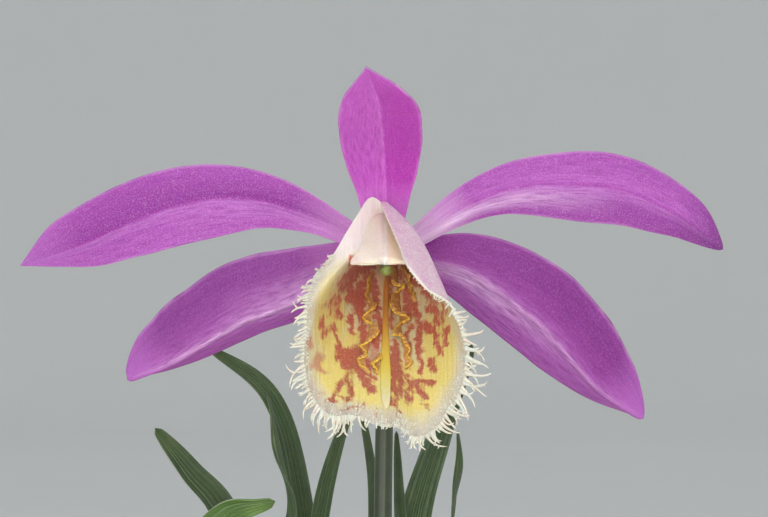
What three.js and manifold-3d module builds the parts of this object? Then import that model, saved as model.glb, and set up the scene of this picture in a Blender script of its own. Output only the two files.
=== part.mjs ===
// A potted Pleione orchid in flower: a terracotta pot of bark compost, five pseudobulbs with their
// roots, sheathed shoots with leaves, and one flower on its scape.
// Millimetres. The origin is the centre of the pot's underside, +Z is up and the flower faces -Y.
import * as THREE from "three";
import { ParametricGeometry } from "three/addons/geometries/ParametricGeometry.js";
import { mergeVertices } from "three/addons/utils/BufferGeometryUtils.js";
import Module from "manifold-3d";

// Driving dimensions
const GAP = 0.3;

const POT = {
  height: 78,
  rimRadius: 65,
  rimLowerRadius: 62.5,
  rimHeight: 16,
  rimInnerRadius: 57.5,
  shoulderRadius: 58.5,
  baseRadius: 44,
  floorRadius: 39.5,
  floor: 6,
  drainRadius: 7,
  footChamfer: 1.5,
  lipDrop: 2,
  lipChamfer: 1.5,
  lipInnerChamfer: 1,
  segments: 40,
};

// The compost's surface: its height at the wall, at the crown and on the two rings between them
const COMPOST = { edgeZ: 64, crownZ: 67.2, outerRing: 0.8, outerRise: 2, innerRing: 0.4, innerDrop: 0.4 };

const CROCK = { radius: 30, thickness: 4, halfAngle: 35, length: 30 };

const BULB = { bottom: 57, height: 27, segments: 12 };
const BULBS = [
  { x: -15.5, y: 1.5, radius: 12.5 },
  { x: -27, y: 31, radius: 11 },
  { x: 6, y: 38, radius: 10.5 },
  { x: 27, y: 16, radius: 11.5 },
  { x: 14, y: -14, radius: 12 },
];
// A pseudobulb's outline: its radius and height as parts of its greatest radius and of its height
const BULB_OUTLINE = [
  [0, 0],
  [0.5, 0.03],
  [0.86, 0.16],
  [1, 0.36],
  [0.9, 0.55],
  [0.62, 0.72],
  [0.36, 0.83],
  [0.2, 0.92],
  [0.13, 1],
  [0, 1.01],
];

const ROOTS = {
  top: 56.6,
  discRadius: 4,
  discDepth: 2.6,
  reach: 15,
  depth: 30,
  radius: 0.9,
  count: 4,
  wallRoom: 3,
};

const SHOOT_FOOT = 61;
const FLOWER_SHOOT = { x: 1.5, y: 9.5 };
const FLOWER_SHEATHS = {
  flower_sheath_outer: { outer: 5.2, inner: 4.7, above: 18 },
  flower_sheath_middle: { outer: 4.4, inner: 3.95, above: 36 },
  flower_sheath_inner: { outer: 3.65, inner: 3.2, above: 60 },
};
const LEAF_SHEATH = { outer: 2.9, inner: 2.4 };
const SHEATH_EDGE = { taper: 2, thickness: 0.1 };
const SOCKET_HEADROOM = 2;

const PETIOLE = { halfWidth: 1.4, thickness: 2.2 };
const LEAF_FOOT_LIFT = 1;
const LEAF_THICKNESS = 0.9;
const LEAF_CHANNEL = 0.35;
const LEAF_SHOULDER = 0.72;
// Parts of a leaf's length: where its stalk starts to open, how far that takes, where it is flat
const LEAF_OPENING = { from: 0.35, length: 0.3, flatAt: 0.4 };
// Each leafy shoot: where its sheath stands, how tall that is, and the leaf's midline above it
const LEAVES = [
  {
    shoot: [-29.5, 14],
    sheath: 34,
    width: 3.1,
    tip: [[-28.4, 17, 112], [-25.9, 30, 152.9], [-31.6, 30, 160.5], [-37.3, 30, 167.4]],
  },
  {
    shoot: [-31, -8],
    sheath: 30,
    width: 3.4,
    tip: [[-31.5, -4, 112], [-30.5, 7, 144], [-24.8, 10, 154.6], [-17, 10, 157]],
  },
  {
    shoot: [-12.5, 35],
    sheath: 36,
    width: 3,
    tip: [[-12.6, 38, 112], [-14.1, 45, 151.6], [-20, 45, 172.1], [-30, 45, 180.5]],
  },
  {
    shoot: [-12, 20.5],
    sheath: 28,
    width: 2.9,
    tip: [[-11.6, 23, 112], [-9.6, 30, 152.9], [-4.7, 30, 168.7], [-3.5, 31, 172]],
  },
  {
    shoot: [0.5, 24],
    sheath: 26,
    width: 2.7,
    tip: [[0.2, 26, 112], [-1, 31, 140], [-3.2, 34, 160], [-5, 34, 173]],
  },
  {
    shoot: [13, 23],
    sheath: 32,
    width: 3,
    tip: [[10.6, 24, 112], [3.2, 25, 148], [8.4, 25, 167.3], [14.7, 25, 181.2]],
  },
  {
    shoot: [21, 35],
    sheath: 30,
    width: 2.9,
    tip: [[18.4, 38, 112], [11.4, 45, 151.6], [13.3, 45, 160.3], [11.9, 45, 166]],
  },
  {
    shoot: [-19, 18],
    sheath: 24,
    width: 2.2,
    tip: [[-18.4, 19, 112], [-14.8, 25, 151], [-16.8, 25, 163], [-19, 25, 173.5]],
  },
];
// The leaf that rises inside the flowering shoot, beside the scape
const SCAPE_LEAF = {
  foot: [3.15, 9.5, 101],
  width: 2.6,
  petiole: { halfWidth: 0.8, thickness: 1.2 },
  opening: 0.62,
  tip: [[3.15, 9.5, 129], [3.4, 13.5, 142], [3, 20, 153.7], [1.4, 20, 165.2]],
};

const CHIP = { length: 12, width: 8, height: 3.6, foot: 64.4 };
const CHIPS = [
  { x: -42, y: -6, turn: 70 },
  { x: 30, y: -33, turn: -35 },
  { x: 43, y: 8, turn: 95 },
  { x: -3, y: -28, turn: 10 },
  { x: -43, y: 18, turn: 120 },
  { x: -10, y: 48, turn: -10 },
];

const MOSS = { foot: 63, segments: 16 };
const MOSS_CUSHIONS = [
  { x: -25, y: -28, radius: 10, height: 7.5 },
  { x: 38, y: -13, radius: 8.5, height: 7 },
];

const SCAPE = {
  radius: 1.6,
  path: [[0.2, 9.5, 62], [0.2, 9.5, 120], [-0.2, 9.8, 150], [0.2, 9.5, 178]],
};
const OVARY = {
  path: [[0.2, 9.4, 179.2], [0.25, 8.6, 186], [0.3, 5.2, 192.3], [0.38, -0.2, 196], [0.4, -4.2, 196.8]],
  radii: [1.6, 1.9, 2.3, 2.7, 2.8],
};
const BRACT = {
  path: [[0.2, 12.2, 178.5], [0.2, 13, 186], [0.25, 11.4, 194.5], [0.3, 7.8, 201.5], [0.4, 3.4, 206]],
  halfWidth: [1.6, 3, 4.2, 4, 2.6, 0],
  thickness: 0.6,
};

// Sepals and petals: the midline from base to tip, and the half widths on its two sides. Where a
// blade's lower side is folded back, fold gives that angle in degrees from base to tip.
const TEPAL_THICKNESS = 0.8;
const TEPALS = {
  petal_left: {
    midline: [
      [-3.4, -5.2, 197.4], [-11.4, -6.8, 201.5], [-20, -7.4, 204], [-29.2, -6.6, 203.6],
      [-37.9, -4.2, 200.8], [-46.2, -0.8, 197.1], [-55.6, 3.2, 193.8],
    ],
    upper: [1.5, 2.4, 3.7, 4.9, 5.7, 5.9, 5.6, 4.2, 0],
    lower: [1.4, 2.1, 3.6, 5.3, 6.1, 5.7, 4.6, 2.1, 0],
  },
  petal_right: {
    midline: [
      [4.4, -5.2, 197.5], [11, -6.8, 202.1], [19, -7.4, 205.4], [27.6, -6.6, 206.1],
      [36.2, -4.2, 205.3], [44.1, -0.8, 202], [52.2, 3.2, 196.4],
    ],
    upper: [1.5, 2.4, 3.5, 4.3, 5.1, 5.2, 4.7, 3.8, 0],
    lower: [1.4, 2.2, 3.2, 4.4, 5.3, 5.4, 4.6, 2.7, 0],
  },
  lateral_sepal_left: {
    midline: [
      [-2.9, -2.8, 194.6], [-8.8, -3, 191.1], [-15, -2.4, 187.9], [-21.3, -1, 185.5],
      [-27.2, 1, 182.2], [-33, 3.4, 178.9], [-39.9, 6.2, 176.2],
    ],
    upper: [2.6, 5.8, 7.6, 8.8, 9.2, 8.8, 8, 5.8, 0],
    lower: [1.6, 4.3, 5.4, 5.7, 5.5, 4.9, 3.8, 2.2, 0],
    fold: [55, 75],
  },
  lateral_sepal_right: {
    midline: [
      [4, -2.8, 194.9], [11.2, -3, 193.7], [17.5, -2.4, 190.1], [23.3, -1, 185.4],
      [28.3, 1, 180.2], [33.4, 3.4, 174.8], [40.2, 6.2, 170.2],
    ],
    upper: [2.2, 5.2, 7.1, 8.2, 8.8, 8.9, 8.1, 5.8, 0],
    lower: [1.6, 4.8, 6, 6.6, 6.5, 5.9, 4.7, 2.7, 0],
    fold: [22, 70],
  },
  dorsal_sepal: {
    midline: [
      [0.4, -3.8, 200.4], [0.3, -6.2, 205.8], [0, -11.2, 210.5], [-0.3, -17.2, 213.9],
      [-0.7, -23.6, 216.7], [-1.5, -29.8, 219.3], [-2.5, -35.6, 221.8],
    ],
    upper: [2.3, 3.6, 4.6, 5.4, 5.8, 5.9, 5.3, 3.2, 0],
    lower: [2.5, 4, 5.2, 5.9, 6.2, 6.1, 5.3, 3.1, 0],
    upright: true,
  },
};

// The lip: a funnel from a small oval at the column's foot out to its rim, open along the top
const LIP = {
  foot: { x: 0.4, y: -4.6, z: 196.4, radius: 2.4 },
  openAngles: [98, 442],
  topSpread: 0.9,
  floorSpread: 1.5,
  depthPower: 1.3,
  thickness: 0.6,
  columns: 28,
  rows: 12,
  crests: { columns: [12, 14, 16], from: 0.25, to: 0.85, height: 1.3 },
  rim: [
    [-0.7, -18.4, 203.9], [-3.3, -22, 201.9], [-5.2, -25.5, 199], [-7.2, -29.5, 195.7],
    [-9.8, -33, 192.2], [-10.9, -35.5, 188.8], [-11.3, -37.2, 184], [-11.3, -38.2, 179.5],
    [-10.1, -39, 175.3], [-7.4, -40, 172.8], [-4.6, -41.8, 173], [-0.6, -42.6, 171.9],
    [1.8, -42, 171.6], [4.4, -41, 170], [7.4, -40, 171.2], [9.9, -38.9, 174.9],
    [11.7, -38, 179.6], [11.3, -37.2, 184.3], [9.6, -35, 188.3], [7.9, -32.5, 191.6],
    [6.9, -30, 194.6], [6.3, -27.5, 196.7], [4.2, -24, 199.7], [1.9, -20.5, 201.9],
    [0.6, -18.4, 203.4],
  ],
};

const COLUMN = {
  path: [[0.4, -4.7, 196.5], [0.4, -12, 197.6], [0.4, -19, 199.4], [0.4, -26, 199], [0.35, -32, 195.2]],
  halfWidth: [1.2, 1.4, 1.7, 3, 3.8],
  halfHeight: [1.2, 1.4, 1.3, 1.1, 0.9],
};
const ANTHER_CAP = { x: 0.35, y: -27.8, z: 194.6, radius: 1.5 };
const POLLINIA = { x: 0.35, y: -24.6, z: 196.6, radius: 0.8 };

// Small tools
const wasm = await Module();
wasm.setup();

const vector = ([x, y, z]) => new THREE.Vector3(x, y, z);
const curveThrough = (points) => new THREE.CatmullRomCurve3(points.map(vector), false, "centripetal");
const radians = THREE.MathUtils.degToRad;

// A smooth value along a blade, from evenly spaced readings.
function graded(values) {
  const line = new THREE.SplineCurve(values.map((value, i) => new THREE.Vector2(i, value)));
  return (t) => Math.max(0, line.getPoint(t).y);
}

// Welds a geometry into one shell with its faces outwards. Faces that a knife edge flattens go, and
// so do pairs of faces that lie on each other there.
function weld(geometry) {
  geometry.deleteAttribute("normal");
  geometry.deleteAttribute("uv");
  const welded = mergeVertices(geometry, 1e-4);
  const index = welded.index.array;
  const faces = new Map();
  for (let i = 0; i < index.length; i += 3) {
    const face = [index[i], index[i + 1], index[i + 2]];
    const key = [...face].sort((a, b) => a - b).join();
    if (new Set(face).size < 3) continue;
    if (!faces.delete(key)) faces.set(key, face);
  }
  welded.setIndex([...faces.values()].flat());
  return facingOut(welded);
}

function facingOut(geometry) {
  const position = geometry.getAttribute("position");
  const index = geometry.index.array;
  const corner = (i) => new THREE.Vector3().fromBufferAttribute(position, index[i]);
  let volume = 0;
  for (let i = 0; i < index.length; i += 3) {
    volume += corner(i).dot(corner(i + 1).cross(corner(i + 2)));
  }
  if (volume < 0) {
    for (let i = 0; i < index.length; i += 3) {
      [index[i + 1], index[i + 2]] = [index[i + 2], index[i + 1]];
    }
  }
  return geometry;
}

function solidOf(geometry) {
  const vertProperties = new Float32Array(geometry.getAttribute("position").array);
  const triVerts = new Uint32Array(geometry.index.array);
  return new wasm.Manifold(new wasm.Mesh({ numProp: 3, vertProperties, triVerts }));
}

function geometryOf(solid) {
  const mesh = solid.getMesh();
  const geometry = new THREE.BufferGeometry();
  geometry.setAttribute("position", new THREE.BufferAttribute(mesh.vertProperties, 3));
  geometry.setIndex(Array.from(mesh.triVerts));
  return geometry;
}

function joined(geometries) {
  return geometries.map(solidOf).reduce((whole, piece) => whole.add(piece));
}

// A turned solid about the vertical through (x, y); the outline is a list of [radius, height].
function turned(outline, segments, x = 0, y = 0) {
  const points = outline.map(([radius, z]) => new THREE.Vector2(radius, z));
  const geometry = new THREE.LatheGeometry(points, segments);
  return weld(geometry.rotateX(Math.PI / 2).translate(x, y, 0));
}

// A capped solid along a path. sectionAt(t) gives the half width and half height of its oval section.
function stem(points, sectionAt, sides, steps) {
  const path = curveThrough(points);
  const frames = path.computeFrenetFrames(steps, false);
  const stacks = steps + 2;
  const surface = (u, v, target) => {
    const turn = (2 * Math.PI * (Math.round(u * sides) % sides)) / sides;
    const stack = Math.round(v * stacks);
    const ring = THREE.MathUtils.clamp(stack - 1, 0, steps);
    const closed = stack === 0 || stack === stacks;
    const [halfWidth, halfHeight] = closed ? [0, 0] : sectionAt(ring / steps);
    target.copy(path.getPointAt(ring / steps));
    target.addScaledVector(frames.normals[ring], halfWidth * Math.cos(turn));
    target.addScaledVector(frames.binormals[ring], halfHeight * Math.sin(turn));
  };
  return weld(new ParametricGeometry(surface, sides, stacks));
}

// A thin solid about the surface pointAt(s, t), s and t from 0 to 1, worn to a knife edge all round.
// riseAt(s, t) is a height added to its front face.
function sheet(pointAt, thicknessAt, across, along, riseAt = () => 0) {
  const edgeFullness = 0.35;
  const body = (x) => Math.pow(Math.max(0, 4 * x * (1 - x)), edgeFullness);
  const step = 0.01;
  const slope = (s, t, ds, dt) => {
    const ahead = pointAt(Math.min(1, s + ds), Math.min(1, t + dt));
    return ahead.sub(pointAt(Math.max(0, s - ds), Math.max(0, t - dt)));
  };
  const surface = (u, v, target) => {
    const column = Math.round(u * 2 * across);
    const front = column <= across;
    const s = (front ? column : 2 * across - column) / across;
    const t = Math.round(v * along) / along;
    const normal = slope(s, t, step, 0).cross(slope(s, t, 0, step)).normalize();
    const half = thicknessAt(t) / 2 + (front ? riseAt(s, t) : 0);
    target.copy(pointAt(s, t)).addScaledVector(normal, (front ? half : -half) * body(s) * body(t));
  };
  return weld(new ParametricGeometry(surface, 2 * across, along));
}

// A leaf, bract, sepal or petal. side is the way its upper half points; its midrib dips by channel.
function blade({ midline, upperAt, lowerAt, side, face, channel = 0, foldAt = () => 0, thicknessAt, along }) {
  const path = curveThrough(midline);
  const pointAt = (s, t) => {
    const tangent = path.getTangentAt(t);
    const across = side.clone().addScaledVector(tangent, -side.dot(tangent)).normalize();
    const front = across.clone().cross(tangent).normalize();
    if (front.dot(face) < 0) front.negate();
    const place = 2 * s - 1;
    const fold = place < 0 ? foldAt(t) : 0;
    const reach = place < 0 ? place * lowerAt(t) : place * upperAt(t);
    const out = path.getPointAt(t).addScaledVector(across, reach * Math.cos(fold));
    return out.addScaledVector(front, Math.abs(reach) * channel + reach * Math.sin(fold));
  };
  return sheet(pointAt, thicknessAt, 4, along);
}

// Builders of the pieces
function wallRadius(z) {
  const part = (z - POT.floor) / (POT.height - POT.floor);
  return THREE.MathUtils.lerp(POT.floorRadius, POT.rimInnerRadius, part);
}

function potGeometry() {
  const shoulder = POT.height - POT.rimHeight;
  const outline = [
    [POT.drainRadius, 0],
    [POT.baseRadius - POT.footChamfer, 0],
    [POT.baseRadius, POT.footChamfer],
    [POT.shoulderRadius, shoulder],
    [POT.rimLowerRadius, shoulder],
    [POT.rimRadius, POT.height - POT.lipDrop],
    [POT.rimRadius - POT.lipChamfer, POT.height],
    [POT.rimInnerRadius + POT.lipInnerChamfer, POT.height],
    [wallRadius(POT.height - POT.lipDrop), POT.height - POT.lipDrop],
    [POT.floorRadius, POT.floor],
    [POT.drainRadius, POT.floor],
    [POT.drainRadius, 0],
  ];
  return turned(outline, POT.segments);
}

// An arch lying along Y over the drain hole; a filled one is the room that it keeps free.
function crockGeometry(grow, filled) {
  const outer = CROCK.radius + grow;
  const inner = CROCK.radius - CROCK.thickness - grow;
  const half = radians(CROCK.halfAngle) + grow / CROCK.radius;
  const up = Math.PI / 2;
  const springing = (CROCK.radius - CROCK.thickness) * Math.cos(radians(CROCK.halfAngle));
  const arch = new THREE.Shape();
  arch.absarc(0, 0, outer, up - half, up + half, false);
  if (filled) {
    arch.lineTo(-outer * Math.sin(half), springing - 1);
    arch.lineTo(outer * Math.sin(half), springing - 1);
  } else {
    arch.absarc(0, 0, inner, up + half, up - half, true);
  }
  const length = CROCK.length + 2 * grow;
  const geometry = new THREE.ExtrudeGeometry(arch, { depth: length, bevelEnabled: false, curveSegments: 8 });
  geometry.translate(0, POT.floor + GAP - springing, -length / 2).rotateX(Math.PI / 2);
  return weld(geometry);
}

function bulbGeometry({ x, y, radius }, grow = 0) {
  const last = BULB_OUTLINE.length - 1;
  const outline = BULB_OUTLINE.map(([out, up], i) => {
    const end = i === 0 ? -grow : i === last ? grow : 0;
    return [out === 0 ? 0 : out * radius + grow, BULB.bottom + up * BULB.height + end];
  });
  outline[1][1] -= grow;
  return turned(outline, BULB.segments, x, y);
}

function rootGeometries({ x, y }, grow = 0) {
  const disc = turned(
    [
      [0, ROOTS.top - ROOTS.discDepth - grow],
      [ROOTS.discRadius + grow, ROOTS.top - ROOTS.discDepth - grow],
      [ROOTS.discRadius + grow, ROOTS.top + grow],
      [0, ROOTS.top + grow],
    ],
    8,
    x,
    y,
  );
  const roots = Array.from({ length: ROOTS.count }, (_, i) => {
    const angle = (2 * Math.PI * (i + 0.3)) / ROOTS.count + x;
    const reach = ROOTS.reach - 4 * (i % 2);
    const at = (part, z) => {
      const place = new THREE.Vector2(x + reach * part * Math.cos(angle), y + reach * part * Math.sin(angle));
      place.clampLength(0, wallRadius(z) - ROOTS.wallRoom);
      return [place.x, place.y, z];
    };
    const path = [
      at(0.12, ROOTS.top - ROOTS.discDepth / 2),
      at(0.55, ROOTS.top - 8),
      at(0.8, ROOTS.top - 20),
      at(0.7, ROOTS.top - ROOTS.depth - grow),
    ];
    return stem(path, () => [ROOTS.radius + grow, ROOTS.radius + grow], 5, 3);
  });
  return [disc, ...roots];
}

function sheathGeometry(x, y, foot, top, outer, inner) {
  const outline = [
    [inner, foot],
    [outer, foot],
    [outer, top - SHEATH_EDGE.taper],
    [inner + SHEATH_EDGE.thickness, top],
    [inner, foot],
  ];
  return turned(outline, 12, x, y);
}

function sheathSocket(x, y, foot, outer) {
  const radius = outer + GAP;
  const above = COMPOST.crownZ + SOCKET_HEADROOM;
  return turned([[0, foot - GAP], [radius, foot - GAP], [radius, above], [0, above]], 12, x, y);
}

function chipGeometry({ x, y, turn }, grow = 0) {
  const half = CHIP.length / 2 + grow;
  const side = CHIP.width / 2 + grow;
  const outline = new THREE.Shape([
    new THREE.Vector2(-half, -side * 0.5),
    new THREE.Vector2(-half * 0.3, -side),
    new THREE.Vector2(half * 0.8, -side * 0.8),
    new THREE.Vector2(half, side * 0.4),
    new THREE.Vector2(half * 0.2, side),
    new THREE.Vector2(-half * 0.85, side * 0.7),
  ]);
  const geometry = new THREE.ExtrudeGeometry(outline, { depth: CHIP.height + 2 * grow, bevelEnabled: false });
  return weld(geometry.rotateZ(radians(turn)).translate(x, y, CHIP.foot - grow));
}

function mossGeometry({ x, y, radius, height }, grow = 0) {
  const foot = MOSS.foot - grow;
  const rise = height + grow;
  const outline = [
    [0, foot],
    [radius + grow, foot],
    [radius + grow, foot + rise * 0.35],
    [radius * 0.72 + grow, foot + rise * 0.8],
    [radius * 0.38 + grow, foot + rise * 0.96],
    [0, foot + rise],
  ];
  return turned(outline, MOSS.segments, x, y);
}

function compostGeometry() {
  const edge = wallRadius(COMPOST.edgeZ) - GAP;
  const foot = POT.floor + GAP;
  const bed = turned(
    [
      [0, foot],
      [wallRadius(foot) - GAP, foot],
      [edge, COMPOST.edgeZ],
      [edge * COMPOST.outerRing, COMPOST.edgeZ + COMPOST.outerRise],
      [edge * COMPOST.innerRing, COMPOST.crownZ - COMPOST.innerDrop],
      [0, COMPOST.crownZ],
    ],
    POT.segments,
  );
  const sockets = [
    crockGeometry(GAP, true),
    ...BULBS.map((bulb) => bulbGeometry(bulb, GAP)),
    ...BULBS.flatMap((bulb) => rootGeometries(bulb, GAP)),
    ...CHIPS.map((chip) => chipGeometry(chip, GAP)),
    ...MOSS_CUSHIONS.map((cushion) => mossGeometry(cushion, GAP)),
    ...LEAVES.map(({ shoot: [x, y] }) => sheathSocket(x, y, SHOOT_FOOT, LEAF_SHEATH.outer)),
    sheathSocket(FLOWER_SHOOT.x, FLOWER_SHOOT.y, SHOOT_FOOT, FLOWER_SHEATHS.flower_sheath_outer.outer),
  ];
  return geometryOf(solidOf(bed).subtract(joined(sockets)));
}

// A leaf: a rolled stalk that opens into a blade from the part opening of its length upwards.
function leafGeometry({ foot, width, tip, petiole = PETIOLE, opening = LEAF_OPENING.from }) {
  const halfWidthAt = (t) => {
    const open = THREE.MathUtils.smoothstep(t, opening, opening + LEAF_OPENING.length);
    const taper = Math.max(0, t - LEAF_SHOULDER) / (1 - LEAF_SHOULDER);
    return THREE.MathUtils.lerp(petiole.halfWidth, width, open) * Math.sqrt(1 - taper ** 1.6);
  };
  return blade({
    midline: [foot, ...tip],
    upperAt: halfWidthAt,
    lowerAt: halfWidthAt,
    side: new THREE.Vector3(1, 0.15, 0),
    face: new THREE.Vector3(0, -1, 0.3),
    channel: LEAF_CHANNEL,
    thicknessAt: (t) => {
      return THREE.MathUtils.lerp(petiole.thickness, LEAF_THICKNESS, Math.min(1, t / LEAF_OPENING.flatAt));
    },
    along: 11,
  });
}

function tepalGeometry({ midline, upper, lower, fold = [0, 0], upright = false }) {
  return blade({
    midline,
    upperAt: graded(upper),
    lowerAt: graded(lower),
    side: upright ? new THREE.Vector3(1, 0, 0) : new THREE.Vector3(0, 0, 1),
    face: new THREE.Vector3(0, -1, 0),
    channel: upright ? 0.12 : 0.06,
    foldAt: (t) => radians(THREE.MathUtils.lerp(fold[0], fold[1], t)),
    thicknessAt: () => TEPAL_THICKNESS,
    along: 12,
  });
}

function lipGeometry() {
  const rim = curveThrough(LIP.rim);
  const { x, y, z, radius } = LIP.foot;
  const pointAt = (s, r) => {
    const angle = radians(THREE.MathUtils.lerp(LIP.openAngles[0], LIP.openAngles[1], s));
    const edge = rim.getPoint(s);
    const low = Math.sin(Math.PI * s) ** 2;
    const spread = Math.pow(r, THREE.MathUtils.lerp(LIP.topSpread, LIP.floorSpread, low));
    const depth = 1 - Math.pow(1 - r, LIP.depthPower);
    const footX = x + radius * Math.cos(angle);
    const footZ = z + radius * Math.sin(angle);
    return new THREE.Vector3(
      THREE.MathUtils.lerp(footX, edge.x, spread),
      THREE.MathUtils.lerp(y, edge.y, depth),
      THREE.MathUtils.lerp(footZ, edge.z, spread),
    );
  };
  const crestAt = (s, r) => {
    const onCrest = LIP.crests.columns.includes(Math.round(s * LIP.columns));
    return onCrest && r > LIP.crests.from && r < LIP.crests.to ? LIP.crests.height : 0;
  };
  return sheet(pointAt, () => LIP.thickness, LIP.columns, LIP.rows, crestAt);
}

function columnGeometry() {
  const widthAt = graded(COLUMN.halfWidth);
  const heightAt = graded(COLUMN.halfHeight);
  return stem(COLUMN.path, (t) => [widthAt(t), heightAt(t)], 10, 10);
}

function ballGeometry({ x, y, z, radius }) {
  return weld(new THREE.SphereGeometry(radius, 10, 6).translate(x, y, z));
}

// The model
const plant = new THREE.Group();

const finish = (color, roughness) => new THREE.MeshStandardMaterial({ color, roughness, metalness: 0 });

function add(name, geometry, material) {
  const mesh = new THREE.Mesh(geometry, material);
  mesh.name = name;
  plant.add(mesh);
}

add("pot", potGeometry(), finish(0xb5623a, 0.85));
add("drainage_crock", crockGeometry(0, false), finish(0xa85a36, 0.88));
add("compost", compostGeometry(), finish(0x4a3524, 0.95));
CHIPS.forEach((chip, i) => add(`bark_chip_${i + 1}`, chipGeometry(chip), finish(0x6d452a, 0.9)));
MOSS_CUSHIONS.forEach((cushion, i) => {
  add(`moss_cushion_${i + 1}`, mossGeometry(cushion), finish(0x5f7a2c, 0.95));
});

BULBS.forEach((bulb, i) => {
  add(`pseudobulb_${i + 1}`, bulbGeometry(bulb), finish(0x5f6f33, 0.45));
  add(`root_tuft_${i + 1}`, geometryOf(joined(rootGeometries(bulb))), finish(0xd9cdb0, 0.8));
});

for (const [name, { outer, inner, above }] of Object.entries(FLOWER_SHEATHS)) {
  const top = COMPOST.crownZ + above;
  const geometry = sheathGeometry(FLOWER_SHOOT.x, FLOWER_SHOOT.y, SHOOT_FOOT, top, outer, inner);
  add(name, geometry, finish(0x9a9a55, 0.6));
}

LEAVES.forEach(({ shoot: [x, y], sheath, width, tip }, i) => {
  const top = COMPOST.crownZ + sheath;
  const tube = sheathGeometry(x, y, SHOOT_FOOT, top, LEAF_SHEATH.outer, LEAF_SHEATH.inner);
  add(`leaf_sheath_${i + 1}`, tube, finish(0x93a05a, 0.6));
  const foot = [x, y, COMPOST.crownZ + LEAF_FOOT_LIFT];
  const inSheath = [x, y, top];
  add(`leaf_${i + 1}`, leafGeometry({ foot, width, tip: [inSheath, ...tip] }), finish(0x3f7a2e, 0.5));
});
add(`leaf_${LEAVES.length + 1}`, leafGeometry(SCAPE_LEAF), finish(0x4a8535, 0.5));

add("scape", stem(SCAPE.path, () => [SCAPE.radius, SCAPE.radius], 10, 14), finish(0x8fa05c, 0.5));
const ovaryRadius = graded(OVARY.radii);
add("ovary", stem(OVARY.path, (t) => [ovaryRadius(t), ovaryRadius(t)], 10, 10), finish(0x8a6a72, 0.5));
add(
  "floral_bract",
  blade({
    midline: BRACT.path,
    upperAt: graded(BRACT.halfWidth),
    lowerAt: graded(BRACT.halfWidth),
    side: new THREE.Vector3(1, 0, 0),
    face: new THREE.Vector3(0, -1, 0),
    channel: 0.3,
    thicknessAt: () => BRACT.thickness,
    along: 9,
  }),
  finish(0xa98d86, 0.6),
);
for (const [name, tepal] of Object.entries(TEPALS)) {
  add(name, tepalGeometry(tepal), finish(0xa94bb0, 0.45));
}
add("lip", lipGeometry(), finish(0xf3e6b8, 0.5));
add("column", columnGeometry(), finish(0xf0dfc0, 0.5));
add("anther_cap", ballGeometry(ANTHER_CAP), finish(0xf4edd0, 0.5));
add("pollinia", ballGeometry(POLLINIA), finish(0xe8c94c, 0.5));

export default plant;
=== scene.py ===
"""A potted Pleione orchid in flower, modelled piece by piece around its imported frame.

The flower looks along -Y. Sizes here are in millimetres, and become metres as a mesh is placed.
"""
from __future__ import annotations

import logging
import math
import random
from dataclasses import dataclass, field
from enum import Enum
from typing import Callable, ClassVar, Sequence

import bpy
import numpy as np
from mathutils import Matrix, Vector, noise


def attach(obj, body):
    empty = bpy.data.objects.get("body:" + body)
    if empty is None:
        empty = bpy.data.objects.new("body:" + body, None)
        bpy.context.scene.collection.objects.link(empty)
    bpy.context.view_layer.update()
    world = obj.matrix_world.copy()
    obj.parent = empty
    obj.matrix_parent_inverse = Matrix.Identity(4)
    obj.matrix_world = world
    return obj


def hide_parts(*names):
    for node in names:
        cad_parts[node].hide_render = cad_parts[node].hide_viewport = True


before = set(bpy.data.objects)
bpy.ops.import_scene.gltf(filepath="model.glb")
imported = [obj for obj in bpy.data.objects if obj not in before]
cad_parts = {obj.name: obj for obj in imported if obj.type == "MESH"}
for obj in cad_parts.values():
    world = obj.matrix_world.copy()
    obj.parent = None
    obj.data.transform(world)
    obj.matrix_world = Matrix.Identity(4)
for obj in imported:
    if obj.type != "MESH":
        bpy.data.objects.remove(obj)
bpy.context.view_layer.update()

MM = 0.001
BODY = "root"
UP = (0.0, 0.0, 1.0)
TOWARDS_VIEWER = (0.0, -1.0, 0.0)

Array = np.ndarray
Piece = bpy.types.Object
Tree = bpy.types.NodeTree
Surface = Callable[[Array, Array], Array]
Point = Sequence[float]

log = logging.getLogger("pleione")


class Slot(Enum):
    """Names of the material slots."""

    TERRACOTTA = "terracotta"
    COMPOST = "compost"
    BARK = "bark"
    MOSS = "moss"
    PSEUDOBULB = "pseudobulb"
    ROOT = "root"
    SHEATH = "sheath"
    LEAF = "leaf"
    STEM = "stem"
    BRACT = "bract"
    TEPAL = "tepal"
    LIP = "lip"
    COLUMN = "column"
    POLLINIA = "pollinia"


# Numbers and curves


def unit(vectors: Array) -> Array:
    """Scales vectors to length one.

    Args:
        vectors: an array whose last axis holds x, y and z.

    Returns:
        The same vectors at length one.
    """
    return vectors / np.maximum(np.linalg.norm(vectors, axis=-1, keepdims=True), 1e-9)


def smooth_step(low: float, high: float, x: Array) -> Array:
    """Eases from 0 at low to 1 at high.

    Args:
        low: where the step begins.
        high: where it ends.
        x: the values to ease.

    Returns:
        Values from 0 to 1.
    """
    part = np.clip((x - low) / (high - low), 0.0, 1.0)
    return part * part * (3.0 - 2.0 * part)


def graded(values: Sequence[float], t: Array, power: float = 1.0) -> Array:
    """Reads a smooth value from evenly spaced ones.

    Args:
        values: the readings along the way.
        t: where to read, from 0 to 1.
        power: above 1, the curve falls to a zero at its end more roundly.

    Returns:
        The value at each t, never below 0.
    """
    marks = np.asarray(values, float) ** power
    last = len(marks) - 1
    place = np.clip(t, 0.0, 1.0) * last
    index = np.minimum(place.astype(int), last - 1)
    w = place - index
    a, b, c, d = (marks[np.clip(index + k, 0, last)] for k in (-1, 0, 1, 2))
    curve = b + 0.5 * w * (c - a + w * (2 * a - 5 * b + 4 * c - d + w * (3 * (b - c) + d - a)))
    return np.maximum(curve, 0.0) ** (1.0 / power)


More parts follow.
